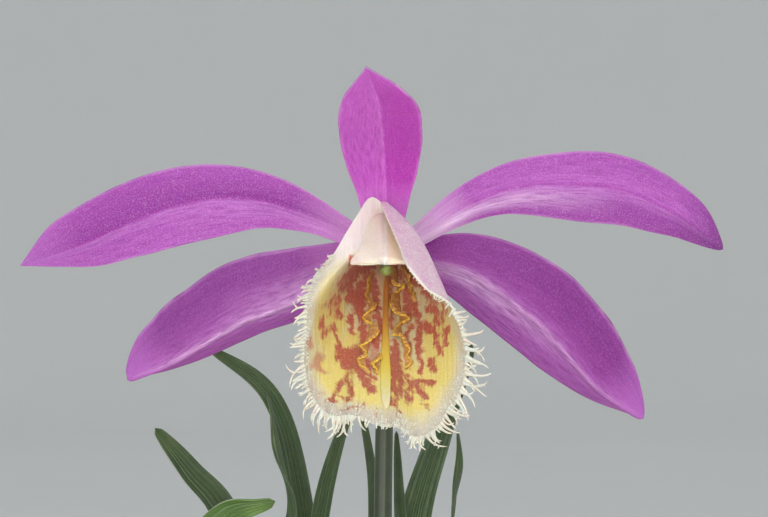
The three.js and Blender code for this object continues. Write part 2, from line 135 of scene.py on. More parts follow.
def ripple(points: Array, wave: float, seed: float = 0.0) -> Array:
    """Smooth noise at points, for a grown or crumbled surface.

    Args:
        points: places in mm, one a row.
        wave: the size of its swells in mm.
        seed: shifts the noise, so that two surfaces differ.

    Returns:
        A value from about -1 to 1 for each point.
    """
    shift = Vector((seed, 1.7 * seed, -seed))
    return np.array([noise.noise(Vector(p) / wave + shift) for p in points])


class Path:
    """A smooth curve through a few points."""

    STEPS: ClassVar[int] = 40

    def __init__(self, points: Sequence[Point]) -> None:
        """Samples the curve closely.

        Args:
            points: the points that it passes through, in mm.
        """
        knots = np.asarray(points, float)
        framed = np.vstack([2 * knots[0] - knots[1], knots, 2 * knots[-1] - knots[-2]])
        part = np.linspace(0.0, 1.0, self.STEPS, endpoint=False)[:, None]
        spans = [self._span(framed[i : i + 4], part) for i in range(len(knots) - 1)]
        self.samples = np.vstack([*spans, knots[-1:]])
        steps = np.linalg.norm(np.diff(self.samples, axis=0), axis=1)
        self.lengths = np.concatenate([[0.0], np.cumsum(steps)])
        self.length = float(self.lengths[-1])

    @staticmethod
    def _span(four: Array, part: Array) -> Array:
        """One span of a centripetal Catmull-Rom curve.

        Args:
            four: the span's two ends and the point on each side of them.
            part: how far along, from 0 to 1.

        Returns:
            The points of the span.
        """
        p0, p1, p2, p3 = four
        k1 = math.sqrt(np.linalg.norm(p1 - p0))
        k2 = k1 + math.sqrt(np.linalg.norm(p2 - p1))
        k3 = k2 + math.sqrt(np.linalg.norm(p3 - p2))
        t = k1 + part * (k2 - k1)
        a1 = (k1 - t) / k1 * p0 + t / k1 * p1
        a2 = (k2 - t) / (k2 - k1) * p1 + (t - k1) / (k2 - k1) * p2
        a3 = (k3 - t) / (k3 - k2) * p2 + (t - k2) / (k3 - k2) * p3
        b1 = (k2 - t) / k2 * a1 + t / k2 * a2
        b2 = (k3 - t) / (k3 - k1) * a2 + (t - k1) / (k3 - k1) * a3
        return (k2 - t) / (k2 - k1) * b1 + (t - k1) / (k2 - k1) * b2

    def _read(self, place: Array) -> Array:
        """Points at fractional sample numbers."""
        index = np.arange(len(self.samples))
        columns = [np.interp(place, index, column) for column in self.samples.T]
        return np.stack(columns, axis=-1)

    def at(self, t: Array) -> Array:
        """Points at parts t of the curve's length."""
        wanted = np.clip(t, 0.0, 1.0) * self.length
        return self._read(np.interp(wanted, self.lengths, np.arange(len(self.samples))))

    def at_index(self, t: Array) -> Array:
        """Points at parts t of the way through the list of points."""
        return self._read(np.clip(t, 0.0, 1.0) * (len(self.samples) - 1))

    def tangent(self, t: Array) -> Array:
        """Directions along the curve at parts t of its length."""
        return unit(self.at(t + 0.006) - self.at(t - 0.006))

    def axes(self, t: Array, side: Point, face: Point) -> tuple[Array, Array]:
        """Two directions square to the curve.

        Args:
            t: where, as parts of its length.
            side: about which way the first one points.
            face: about which way the second one points.

        Returns:
            The side direction and the facing direction at each t.
        """
        along = self.tangent(t)
        wide = np.asarray(side, float)
        across = unit(wide - along * (along @ wide)[..., None])
        front = np.cross(across, along)
        front *= np.sign(front @ np.asarray(face, float))[..., None]
        return across, front


# Meshes


def select_only(obj: Piece) -> None:
    """Makes an object the only one selected, and active."""
    bpy.ops.object.select_all(action="DESELECT")
    obj.select_set(True)
    bpy.context.view_layer.objects.active = obj


def edit_all(obj: Piece, *actions: Callable[[], object]) -> None:
    """Runs mesh operators on the whole of an object in edit mode.

    Args:
        obj: the mesh object.
        actions: calls that each run one operator.
    """
    select_only(obj)
    bpy.ops.object.mode_set(mode="EDIT")
    bpy.ops.mesh.select_all(action="SELECT")
    for action in actions:
        action()
    bpy.ops.object.mode_set(mode="OBJECT")


def weld(obj: Piece) -> None:
    """Joins points that lie on each other."""
    edit_all(obj, lambda: bpy.ops.mesh.remove_doubles(threshold=MM * 0.002))


def face_outwards(obj: Piece) -> None:
    """Turns a closed shell's faces outwards."""
    edit_all(obj, lambda: bpy.ops.mesh.normals_make_consistent(inside=False))


def face_towards(obj: Piece, direction: Point) -> None:
    """Turns an open sheet's faces so that most look along a direction.

    Args:
        obj: the sheet.
        direction: the way that it is to look.
    """
    wanted = Vector(direction)
    lean = sum(p.normal.dot(wanted) * p.area for p in obj.data.polygons)
    if lean < 0:
        edit_all(obj, bpy.ops.mesh.flip_normals)


def modify(obj: Piece, kind: str, **settings: object) -> None:
    """Adds a modifier and applies it.

    Args:
        obj: the mesh object.
        kind: the modifier's type.
        settings: its settings.
    """
    select_only(obj)
    modifier = obj.modifiers.new(kind.title(), kind)
    for name, value in settings.items():
        setattr(modifier, name, value)
    bpy.ops.object.modifier_apply(modifier=modifier.name)


def thicken(obj: Piece, thickness: float, *finishes: "Finish") -> None:
    """Gives a sheet its finishes and its thickness, behind its face.

    Args:
        obj: the sheet.
        thickness: in mm.
        finishes: one for all of it, or its face's, its back's and its edge's.
    """
    for finish in finishes:
        obj.data.materials.append(finish.material())
    last = len(finishes) - 1
    modify(
        obj, "SOLIDIFY", thickness=thickness * MM, offset=-1.0, material_offset=min(1, last),
        material_offset_rim=min(2, last), use_even_offset=False,
    )


def shaped_grid(name: str, columns: int, rows: int, surface: Surface, welded: bool = True) -> Piece:
    """Adds a flat grid and moves its points onto a surface.

    Args:
        name: the new object's name.
        columns: faces across, which is u.
        rows: faces along, which is v.
        surface: gives points in mm for arrays of u and v, each from 0 to 1.
        welded: whether points that meet are joined, as at a seam or a tip.

    Returns:
        The new object, which keeps u and v as its UV map.
    """
    bpy.ops.object.select_all(action="DESELECT")
    bpy.ops.mesh.primitive_grid_add(x_subdivisions=columns, y_subdivisions=rows, size=1.0)
    obj = bpy.context.object
    obj.name = obj.data.name = name
    flat = np.empty(3 * len(obj.data.vertices))
    obj.data.vertices.foreach_get("co", flat)
    flat = flat.reshape(-1, 3)
    u = np.round((flat[:, 0] + 0.5) * columns) / columns
    v = np.round((flat[:, 1] + 0.5) * rows) / rows
    obj.data.vertices.foreach_set("co", (surface(u, v) * MM).ravel())
    obj.data.update()
    bpy.ops.object.shade_smooth()
    if welded:
        weld(obj)
    return obj


def stem_surface(
    path: Path, half_width: Callable[[Array], Array], half_height: Callable[[Array], Array],
    side: Point = (1.0, 0.0, 0.0), face: Point = TOWARDS_VIEWER, cap: float = 0.03,
) -> Surface:
    """A round-ended solid along a path.

    Args:
        path: its axis.
        half_width: its half width in mm at parts of its length.
        half_height: the same at right angles.
        side: about which way its width points.
        face: about which way its height points.
        cap: the part of its length that each rounded end takes.

    Returns:
        A surface whose u goes round and whose v goes along.
    """

    def surface(u: Array, v: Array) -> Array:
        across, front = path.axes(v, side, face)
        turn = 2 * np.pi * (u % 1.0)
        end = 1.0 - np.clip(np.minimum(v, 1.0 - v) / cap, 0.0, 1.0)
        round_end = np.sqrt(np.maximum(0.0, 1.0 - end * end))
        wide = (half_width(v) * round_end * np.cos(turn))[:, None]
        high = (half_height(v) * round_end * np.sin(turn))[:, None]
        return path.at(v) + across * wide + front * high

    return surface


def joined(name: str, objects: Sequence[Piece]) -> Piece:
    """Joins objects into one.

    Args:
        name: the joined object's name.
        objects: what to join; material slots are kept by material.

    Returns:
        The joined object.
    """
    select_only(objects[0])
    for other in objects[1:]:
        other.select_set(True)
    bpy.ops.object.join()
    objects[0].name = objects[0].data.name = name
    return objects[0]


def placed_copy(shape: Piece, place: Matrix) -> Piece:
    """Copies an object with a mesh of its own.

    Args:
        shape: the object to copy.
        place: where its points go, in metres.

    Returns:
        The copy.
    """
    copy = shape.copy()
    copy.data = shape.data.copy()
    copy.data.transform(place)
    bpy.context.collection.objects.link(copy)
    return copy


def keep_values(obj: Piece, name: str, values: Array) -> None:
    """Stores a number or three for every point of a mesh, for its finish to read.

    Args:
        obj: the mesh object.
        name: the attribute's name.
        values: one row for each point.
    """
    form, key = ("FLOAT_VECTOR", "vector") if values.ndim == 2 else ("FLOAT", "value")
    attribute = obj.data.attributes.new(name, form, "POINT")
    attribute.data.foreach_set(key, np.ascontiguousarray(values, dtype=np.float32).ravel())


def points_of(obj: Piece) -> Array:
    """A mesh's points in mm, one a row."""
    flat = np.empty(3 * len(obj.data.vertices))
    obj.data.vertices.foreach_get("co", flat)
    return flat.reshape(-1, 3) / MM


def hand_over(
    obj: Piece, finish: "Finish | None" = None, replaces: Sequence[str] = (),
) -> Piece:
    """Dresses a finished piece, ties it to the frame and reports it.

    Args:
        obj: the piece.
        finish: its finish, or none where the piece is dressed already.
        replaces: the nodes that it stands for.

    Returns:
        The same piece.
    """
    if finish:
        obj.data.materials.append(finish.material())
    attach(obj, BODY)
    if replaces:
        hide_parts(*replaces)
    log.info("%s: %d faces", obj.name, len(obj.data.polygons))
    return obj


# Finishes


def linear(hex_colour: str) -> tuple[float, float, float, float]:
    """Turns an sRGB hex colour into linear light.

    Args:
        hex_colour: such as "#AA5500".

    Returns:
        Red, green, blue and alpha.
    """
    parts = [int(hex_colour[i : i + 2], 16) / 255 for i in (1, 3, 5)]
    red, green, blue = (p / 12.92 if p <= 0.04045 else ((p + 0.055) / 1.055) ** 2.4 for p in parts)
    return red, green, blue, 1.0


def node(
    tree: Tree, kind: str, inputs: dict | None = None,
    ramp: Sequence[tuple[float, str]] = (), **settings: object,
) -> bpy.types.Node:
    """Adds a node with its settings and links.

    Args:
        tree: the material's node tree.
        kind: the node's type, without the ShaderNode that it starts with.
        inputs: for each input a value to set, a socket to link, or a node whose first output is linked. A
            hex colour is turned linear.
        ramp: colour stops, for a colour ramp.
        settings: the node's own properties.

    Returns:
        The new node.
    """
    made = tree.nodes.new("ShaderNode" + kind)
    for name, value in settings.items():
        setattr(made, name, value)
    for key, value in (inputs or {}).items():
        if isinstance(value, bpy.types.Node):
            value = value.outputs[0]
        if isinstance(value, bpy.types.NodeSocket):
            tree.links.new(value, made.inputs[key])
        else:
            made.inputs[key].default_value = linear(value) if isinstance(value, str) else value
    if ramp:
        stops = made.color_ramp.elements
        while len(stops) < len(ramp):
            stops.new(1.0)
        for stop, (place, colour) in zip(stops, ramp):
            stop.position = place
            stop.color = linear(colour)
    return made


class Finish:
    """A surface's material. A subclass has a name and paints the shader's inputs."""

    name: str

    def paint(self, tree: Tree) -> dict:
        """Adds the nodes and returns the shader's inputs."""
        raise NotImplementedError

    def material(self) -> bpy.types.Material:
        """Builds the material the first time and finds it again later."""
        made = bpy.data.materials.get(self.name)
        if made is None:
            made = bpy.data.materials.new(self.name)
            made.use_nodes = True
            made.node_tree.nodes.clear()
            shader = node(made.node_tree, "BsdfPrincipled", self.paint(made.node_tree))
            node(made.node_tree, "OutputMaterial", {"Surface": shader})
        return made


@dataclass(frozen=True)
class Mottled(Finish):
    """A surface of three tones mixed by noise at two sizes, with fine relief."""

    name: str
    dark: str
    middle: str
    light: str
    patch: float
    grain: float
    relief: float
    roughness: float
    speck: str = ""
    speck_share: float = 0.64
    stretch: tuple[float, float, float] = (1.0, 1.0, 1.0)
    soft: float = 0.0

    def paint(self, tree: Tree) -> dict:
        """Adds the nodes and returns the shader's inputs."""
        solid = node(tree, "TexCoord").outputs["Object"]
        spread = node(tree, "Mapping", {"Vector": solid, "Scale": self.stretch})
        patches, grains = (
            node(
                tree, "TexNoise",
                {"Vector": spread, "Scale": 1 / (size * MM), "Detail": detail, "Roughness": rough},
            )
            for size, detail, rough in ((self.patch, 4.0, 0.6), (self.grain, 3.0, 0.7))
        )
        tones = ((0.34, self.dark), (0.5, self.middle), (0.68, self.light))
        patched = node(tree, "ValToRGB", {"Fac": patches}, ramp=tones)
        fine = node(tree, "MapRange", {"Value": grains, "From Min": 0.3, "From Max": 0.7, "To Max": 0.5})
        colour = node(tree, "MixRGB", {"Fac": fine, "Color1": patched, "Color2": self.dark})
        if self.speck:
            specks = node(tree, "TexNoise", {"Vector": solid, "Scale": 1.3 / (self.grain * MM), "Detail": 1.0})
            low, high = self.speck_share, self.speck_share + 0.05
            share = node(tree, "MapRange", {"Value": specks, "From Min": low, "From Max": high})
            colour = node(tree, "MixRGB", {"Fac": share, "Color1": colour, "Color2": self.speck})
        bump = node(tree, "Bump", {"Height": grains, "Distance": self.relief * MM, "Strength": 1.0})
        return {
            "Base Color": colour, "Roughness": self.roughness, "Normal": bump,
            "Subsurface Weight": self.soft, "Subsurface Scale": MM,
        }


@dataclass(frozen=True)
class Veined(Finish):
    """A green or papery plant surface with veins that run along it."""

    name: str
    body: str
    dark: str
    vein: str
    foot: str
    tip: str
    veins: float
    roughness: float
    relief: float = 0.05
    soft: float = 0.15

    def paint(self, tree: Tree) -> dict:
        """Adds the nodes and returns the shader's inputs."""
        uv = node(tree, "UVMap", uv_map="UVMap")
        solid = node(tree, "TexCoord").outputs["Object"]
        place = node(tree, "SeparateXYZ", {"Vector": uv}).outputs
        tones = ((0.0, self.foot), (0.3, self.body), (0.86, self.body), (1.0, self.tip))
        along = node(tree, "ValToRGB", {"Fac": place["Y"]}, ramp=tones)
        cloud = node(tree, "TexNoise", {"Vector": solid, "Scale": 1 / (3.5 * MM), "Detail": 4.0})
        shade = node(tree, "MapRange", {"Value": cloud, "From Min": 0.4, "From Max": 0.7, "To Max": 0.75})
        toned = node(tree, "MixRGB", {"Fac": shade, "Color1": along, "Color2": self.dark})
        threads = node(tree, "Math", {0: place["X"], 1: self.veins * 2 * math.pi}, operation="MULTIPLY")
        wave = node(tree, "Math", {0: threads}, operation="COSINE")
        crest = node(tree, "MapRange", {"Value": wave, "From Min": 0.62, "From Max": 1.0, "To Max": 0.6})
        colour = node(tree, "MixRGB", {"Fac": crest, "Color1": toned, "Color2": self.vein})
        cells = node(tree, "TexNoise", {"Vector": solid, "Scale": 1 / (0.35 * MM), "Detail": 2.0})
        grain = node(tree, "Bump", {"Height": cells, "Distance": 0.04 * MM, "Strength": 0.6})
        bump = node(tree, "Bump", {"Height": wave, "Distance": self.relief * MM, "Normal": grain})
        return {
            "Base Color": colour, "Roughness": self.roughness, "Normal": bump,
            "Subsurface Weight": self.soft, "Subsurface Scale": 0.8 * MM, "Sheen Weight": 0.1,
        }


@dataclass(frozen=True)
class TepalFinish(Finish):
    """Living petal: a satin magenta-lilac skin of tiny cells that sparkle, over veins that run along, with
    painted light and shade across it and painted glints for the sparkle.
    """

    name: str
    # Colours from the lower edge to the upper one; lighter and darker halves are painted light and shade, and
    # the pale edges painted highlights
    across: tuple[tuple[float, str], ...]
    streak: str = "#8E3592"
    foot: str = "#DCAAD6"
    tip: str = "#BC6DC2"
    # Colour of the painted glints, specks of highlight that stand in for the sparkle of the cells
    painted_glint: str = "#E3B4E6"
    pale: str = "#DDA9D9"
    # Painted light, a pale band over the blade near its foot: the least and greatest part across, how far along
    # it reaches, and its strength
    painted_light_band: tuple[float, float, float, float] = (0.15, 0.5, 0.6, 0.0)
    cell: float = 0.2
    streaks: float = 46.0

    def paint(self, tree: Tree) -> dict:
        """Adds the nodes and returns the shader's inputs."""
        uv = node(tree, "UVMap", uv_map="UVMap")
        solid = node(tree, "TexCoord").outputs["Object"]
        place = node(tree, "SeparateXYZ", {"Vector": uv}).outputs
        wander = node(tree, "TexNoise", {"Vector": solid, "Scale": 1 / (7 * MM), "Detail": 2.0})
        sway = node(tree, "Math", {0: wander, 1: 0.05, 2: place["X"]}, operation="MULTIPLY_ADD")
        centred = node(tree, "Math", {0: sway, 1: 0.025}, operation="SUBTRACT")
        halves = node(tree, "ValToRGB", {"Fac": centred}, ramp=self.across)
        stretched = node(tree, "Mapping", {"Vector": uv, "Scale": (self.streaks, 15.0, 1.0)})
        fibres = node(tree, "TexNoise", {"Vector": stretched, "Scale": 1.0, "Detail": 4.0, "Roughness": 0.62})
        cells = node(tree, "TexNoise", {"Vector": solid, "Scale": 1 / (self.cell * MM), "Detail": 1.5})
        # The pale band is painted light on the blade's lit part near its foot
        first, last, reach, strength = self.painted_light_band
        middle = ((first, "#000000"), (0.5 * (first + last), "#FFFFFF"), (last, "#000000"))
        band = node(tree, "ValToRGB", {"Fac": centred}, ramp=middle)
        fading = node(
            tree, "MapRange",
            {"Value": place["Y"], "From Min": 0.1, "From Max": reach, "To Min": strength, "To Max": 0.0},
        )
        painted_light_band = node(tree, "Math", {0: band, 1: fading}, operation="MULTIPLY")
        colour = node(tree, "MixRGB", {"Fac": painted_light_band, "Color1": halves, "Color2": self.pale})
        # Each layer: its pattern, the pattern's range, the layer's share at both its ends, and its colour
        for pattern, low, high, least, most, over in (
            (fibres, 0.42, 0.7, 0.0, 0.8, self.streak),
            (place["Y"], 0.02, 0.24, 0.75, 0.0, self.foot),
            (place["Y"], 0.8, 1.0, 0.0, 0.8, self.tip),
            # Painted glints: highlight specks on the cells
            (cells, 0.48, 0.84, 0.0, 0.42, self.painted_glint),
        ):
            share = node(
                tree, "MapRange",
                {"Value": pattern, "From Min": low, "From Max": high, "To Min": least, "To Max": most},
            )
            colour = node(tree, "MixRGB", {"Fac": share, "Color1": colour, "Color2": over})
        skin = node(tree, "Bump", {"Height": cells, "Distance": 0.07 * MM, "Strength": 0.7})
        bump = node(tree, "Bump", {"Height": fibres, "Distance": 0.22 * MM, "Strength": 0.6, "Normal": skin})
        return {
            "Base Color": colour, "Roughness": 0.55, "Normal": bump, "Specular IOR Level": 0.25,
            "Subsurface Weight": 0.15, "Subsurface Scale": 0.7 * MM, "Sheen Weight": 0.05,
            "Sheen Tint": "#F0B8F2",
        }


@dataclass(frozen=True)
class LipFace(Finish):
    """Inner face of the lip: cream and yellow petal, matt, with ragged brick-red marks of crisp edge; in the
    throat the tan and the marks are painted lighter to offset its shade, and pale specks are painted sparkle.
    """

    name: str = "lip face, marked petal"
    border: str = "#C0B5A5"
    cream: str = "#D3C795"
    yellow: str = "#DBC76C"
    # The throat's tan and marks, painted lighter than their own colour to offset the shade that falls in the
    # throat
    tan: str = "#F4CC96"
    mark_deep: str = "#C4503A"
    mark_pale: str = "#A64A30"
    faint: str = "#BC7E62"
    blush: str = "#F8E8E2"

    def paint(self, tree: Tree) -> dict:
        """Adds the nodes and returns the shader's inputs."""
        solid = node(tree, "TexCoord").outputs["Object"]
        zones, front, mark, faint = (
            node(tree, "Attribute", attribute_name=name).outputs for name in ("zones", "front", "mark", "faint")
        )
        zone = node(tree, "SeparateXYZ", {"Vector": zones["Vector"]}).outputs
        spot = node(tree, "SeparateXYZ", {"Vector": front["Vector"]}).outputs
        ragged = node(
            tree, "TexNoise", {"Vector": solid, "Scale": 1 / (0.75 * MM), "Detail": 3.0, "Roughness": 0.6},
        )
        cloud = node(tree, "TexNoise", {"Vector": solid, "Scale": 1 / (2.6 * MM), "Detail": 3.0})
        fine = node(tree, "TexNoise", {"Vector": solid, "Scale": 1 / (0.25 * MM), "Detail": 1.0})
        lines = node(tree, "Mapping", {"Vector": front["Vector"], "Scale": (2.6, 0.22, 0.0)})
        threads = node(tree, "TexNoise", {"Vector": lines, "Scale": 1.0, "Detail": 3.0, "Roughness": 0.55})

        warm_part = node(tree, "Math", {0: cloud, 1: 0.9, 2: zone["X"]}, operation="MULTIPLY_ADD")
        warm = node(tree, "MapRange", {"Value": warm_part, "From Min": 0.55, "From Max": 1.35})
        base = node(tree, "MixRGB", {"Fac": warm, "Color1": self.cream, "Color2": self.yellow})
        # Painted light: the throat's tan is lightened against the shade there
        throat = node(tree, "MixRGB", {"Fac": zone["Y"], "Color1": base, "Color2": self.tan})
        rim_part = node(tree, "Math", {0: cloud, 1: -2.4, 2: spot["Z"]}, operation="MULTIPLY_ADD")
        rim = node(
            tree, "MapRange",
            {"Value": rim_part, "From Min": -0.3, "From Max": 2.4, "To Min": 1.0, "To Max": 0.0},
        )
        bordered = node(tree, "MixRGB", {"Fac": rim, "Color1": throat, "Color2": self.border})
        edged = node(tree, "MixRGB", {"Fac": zone["Z"], "Color1": bordered, "Color2": self.blush})

        faint_part = node(tree, "Math", {0: ragged, 1: 0.8, 2: faint["Fac"]}, operation="MULTIPLY_ADD")
        faded = node(
            tree, "MapRange", {"Value": faint_part, "From Min": 0.22, "From Max": 0.75, "To Max": 0.85},
        )
        washed = node(tree, "MixRGB", {"Fac": faded, "Color1": edged, "Color2": self.faint})
        # Painted light: the marks are lighter towards the shaded throat
        depth = node(tree, "MapRange", {"Value": spot["Y"], "From Min": 1.0, "From Max": 19.0})
        red = node(tree, "MixRGB", {"Fac": depth, "Color1": self.mark_deep, "Color2": self.mark_pale})
        edge = node(tree, "Math", {0: ragged, 1: 0.65, 2: mark["Fac"]}, operation="MULTIPLY_ADD")
        combed = node(tree, "Math", {0: threads, 1: -0.9, 2: edge}, operation="MULTIPLY_ADD")
        share = node(tree, "MapRange", {"Value": combed, "From Min": -0.34, "From Max": 0.06, "To Max": 0.96})
        marked = node(tree, "MixRGB", {"Fac": share, "Color1": washed, "Color2": red})
        # Painted sparkle: fine specks of near-white highlight
        light = node(tree, "MapRange", {"Value": fine, "From Min": 0.48, "From Max": 0.8, "To Max": 0.2})
        colour = node(tree, "MixRGB", {"Fac": light, "Color1": marked, "Color2": "#FFFBF0"})
        skin = node(tree, "Bump", {"Height": fine, "Distance": 0.07 * MM, "Strength": 0.7})
        bump = node(tree, "Bump", {"Height": threads, "Distance": 0.35 * MM, "Strength": 0.6, "Normal": skin})
        return {
            "Base Color": colour, "Roughness": 0.55, "Normal": bump,
            "Subsurface Weight": 0.2, "Subsurface Scale": 0.6 * MM, "Sheen Weight": 0.1,
        }


class Finishes:
    """The object's finishes by what they cover."""

    # A shard of unglazed earthenware: matt, orange-brown, gritty on its broken faces.
    shard = Mottled("terracotta shard", "#8A4A30", "#A65C3A", "#B9795A", 12.0, 0.8, 0.12, 0.9)
    # Damp composted bark: dark, crumbly, matt, with lighter fibres.
    compost = Mottled("bark compost", "#2B1D13", "#46301F", "#6A4A2E", 4.0, 0.9, 0.5, 0.95, speck="#8A6A48")
    # Pine bark chips: layered red-brown plates, matt.
    bark = Mottled("bark chip, dark", "#3B2417", "#6B4028", "#8E5D3B", 3.0, 0.5, 0.3, 0.9,
                   stretch=(1.0, 1.0, 3.0))
    bark_pale = Mottled("bark chip, pale", "#5A3B25", "#8F6440", "#B08A60", 3.0, 0.5, 0.3, 0.9,
                        stretch=(1.0, 1.0, 3.0))
    # Expanded mineral grit: chalky white, dull, pitted.
    grit = Mottled("perlite grit", "#C9C4B8", "#E2DED4", "#F1EEE6", 1.5, 0.4, 0.15, 0.85)
    # Living cushion moss: soft yellow-green tips over dark green.
    moss = Mottled("cushion moss", "#33441A", "#5D7A2A", "#8FA84A", 2.2, 0.5, 0.2, 0.8, soft=0.1)
    # Pseudobulb skin: firm, satin, olive green flushed purple-brown.
    bulb = Mottled("pseudobulb skin", "#4A3A32", "#66753A", "#8B9A55", 7.0, 0.7, 0.06, 0.42,
                   stretch=(1.0, 1.0, 0.35), soft=0.12)
    # Dead tunic: papery, straw to brown, fibrous.
    tunic = Mottled("dry tunic", "#6B4F33", "#957551", "#C2A77C", 2.5, 0.3, 0.12, 0.8, stretch=(2.5, 2.5, 0.3))
    # Living root: spongy, pale buff, dull.
    root = Mottled("orchid root", "#A08E6C", "#CDBF9C", "#E2D8BE", 2.0, 0.4, 0.08, 0.75, soft=0.1)
    # Living sheath: satin, pale green, finely veined.
    sheath = Veined("shoot sheath, green", "#8DA05C", "#74874A", "#B4BE86", "#D6D2AC", "#8C7A4C", 12.0, 0.5)
    # Dead sheath: papery, straw brown, dull.
    sheath_dry = Veined("shoot sheath, papery", "#A5915F", "#836C44", "#C9B988", "#9A8256", "#7A5C38", 14.0,
                        0.65)
    # Young pleated leaf: satin mid green, paler ribs, slightly see-through.
    leaf = Veined("orchid leaf", "#3A4F2A", "#2A3D20", "#4A6338", "#7E9060", "#4A5E2C", 7.0, 0.5, 0.04, 0.12)
    leaf_bright = Veined("young orchid leaf", "#4F7030", "#3B5A28", "#648442", "#8AA066", "#648436", 7.0,
                         0.45, 0.04, 0.15)
    # Flower stem: satin, faintly lined, its green painted dark to stand in for the shade under the flower.
    scape = Veined("flower stem", "#343F28", "#2F3024", "#434E34", "#747A52", "#3E4030", 9.0, 0.5, 0.02, 0.1)
    # Ovary: waxy, brown-green, pinker towards the flower.
    ovary = Veined("ovary", "#8E7C66", "#7C5A64", "#A99A7C", "#8FA062", "#B88CA6", 6.0, 0.4, 0.05, 0.15)
    # Bract: thin, buff, pinker towards its tip, softly lit through.
    bract = Veined("floral bract", "#B9A088", "#A3807F", "#CDBBA0", "#A5AC78", "#B98F9E", 9.0, 0.5, 0.05, 0.25)
    # Sepal and petal skins: each blade's colours across paint light on one half and shade on the other, with
    # painted highlights at its edges
    petal_left = TepalFinish(
        "left petal skin",
        across=((0.0, "#BE7CC0"), (0.03, "#AE56B2"), (0.3, "#AC55B1"), (0.455, "#BE70C1"), (0.492, "#9E3CA0"),
                (0.51, "#902D91"), (0.56, "#8F3595"), (0.74, "#973C9C"), (0.96, "#A64CAA"), (1.0, "#C48CC6")),
        foot="#E0A8DC", pale="#C783C6", painted_light_band=(0.1, 0.5, 0.6, 0.6),
    )
    petal_right = TepalFinish(
        "right petal skin",
        across=((0.0, "#BC7CBE"), (0.03, "#963F98"), (0.3, "#97429C"), (0.455, "#BE72C0"), (0.492, "#AC54AE"),
                (0.51, "#A646A8"), (0.56, "#BC66C0"), (0.74, "#AE56B2"), (0.96, "#AA50AE"), (1.0, "#C892CA")),
        foot="#F6DCF2", tip="#6E2274", pale="#F0CEEC", painted_light_band=(0.08, 0.52, 0.66, 1.0),
    )
    sepal_left = TepalFinish(
        "left lateral sepal skin",
        across=((0.0, "#A850A8"), (0.28, "#AE5CB0"), (0.44, "#BE7CC0"), (0.495, "#D2A6D0"), (0.53, "#AC66AE"),
                (0.62, "#984A9A"), (0.8, "#863C8A"), (0.96, "#883E8C"), (1.0, "#BC88BE")),
        streak="#7C2E7E", foot="#CC82C8", painted_glint="#C082C4", pale="#D9B0D8", painted_light_band=(0.26, 0.78, 0.62, 0.8),
    )
    sepal_right = TepalFinish(
        "right lateral sepal skin",
        across=((0.0, "#A65AA8"), (0.28, "#A85EAC"), (0.44, "#B474B6"), (0.495, "#BE8ABE"), (0.53, "#A457A6"),
                (0.62, "#8F3C90"), (0.8, "#813084"), (0.96, "#88388A"), (1.0, "#BC86BE")),
        streak="#762A78", foot="#9C3E98", painted_glint="#BE80C2", pale="#DDBBDD", painted_light_band=(0.2, 0.56, 0.66, 0.9),
    )
    # Painted light: the dorsal sepal faces down, so its colours are made lighter to offset its shade; its left
    # half is painted lit and its right half shaded
    dorsal = TepalFinish(
        "dorsal sepal skin",
        across=((0.0, "#D894D8"), (0.04, "#CE62CD"), (0.28, "#CE62CD"), (0.46, "#D46BD2"), (0.5, "#DA7AD8"),
                (0.53, "#C246BB"), (0.75, "#BC3AB3"), (0.96, "#C043B9"), (1.0, "#D88AD6")),
        streak="#AC30A4", foot="#E08CDE", tip="#CC62CA", painted_glint="#E8A8E6",
    )
    # Outer side and edge of sepals and petals: even lilac, satin.
    petal_back = Mottled("petal back", "#A75FAC", "#BE84C3", "#D0A4D2", 3.0, 0.35, 0.06, 0.5, soft=0.2)
    petal_edge = Mottled("petal edge", "#B87ABC", "#C890CC", "#D8B0DA", 2.0, 0.4, 0.03, 0.5, soft=0.2)
    lip_face = LipFace()
    # Outer side of the lip: lilac bloom over cream, matt, finely speckled.
    lip_back = Mottled("lip back", "#DDB0C8", "#E6C0D3", "#ECD6DC", 2.4, 0.3, 0.06, 0.55, speck="#F4E8E8",
                       speck_share=0.6, soft=0.2)
    # Edge of the lip: pale cream, matt, softly lit through.
    lip_edge = Mottled("lip margin", "#DED4C6", "#E8E0D2", "#F0EADC", 1.2, 0.3, 0.03, 0.5, soft=0.25)
    # Fringe: cream-white threads, waxy and slightly see-through.
    fringe = Mottled("lip fringe", "#CEC3B0", "#DED5C3", "#E8E1D2", 1.4, 0.3, 0.02, 0.5, soft=0.25)
    # Crests: fleshy, tan at their sides and yellow along their edges.
    crest_body = Mottled("crest side", "#BE8048", "#CF985C", "#DCB074", 0.9, 0.22, 0.08, 0.55, soft=0.15,
                         stretch=(1.0, 1.0, 2.4))
    crest_edge = Mottled("crest edge", "#DDA038", "#E8B844", "#EFCB52", 1.1, 0.3, 0.06, 0.5, soft=0.15)
    # Anther cap: waxy, olive green.
    anther = Mottled("anther cap", "#66703A", "#808A42", "#A2A458", 0.9, 0.3, 0.03, 0.5, soft=0.2)
    # Pollinia: waxy, golden yellow.
    pollen = Mottled("pollinia, waxy", "#D9A92E", "#E9C24C", "#F2D878", 0.8, 0.3, 0.02, 0.4)
    # Seamless painted studio paper: even, matt, pale grey.
    backdrop = Mottled("studio paper", "#DCDEDD", "#DEE0DF", "#E0E2E1", 900.0, 300.0, 0.0, 0.9)


# Front view, in which the lip's marks and crests are laid out


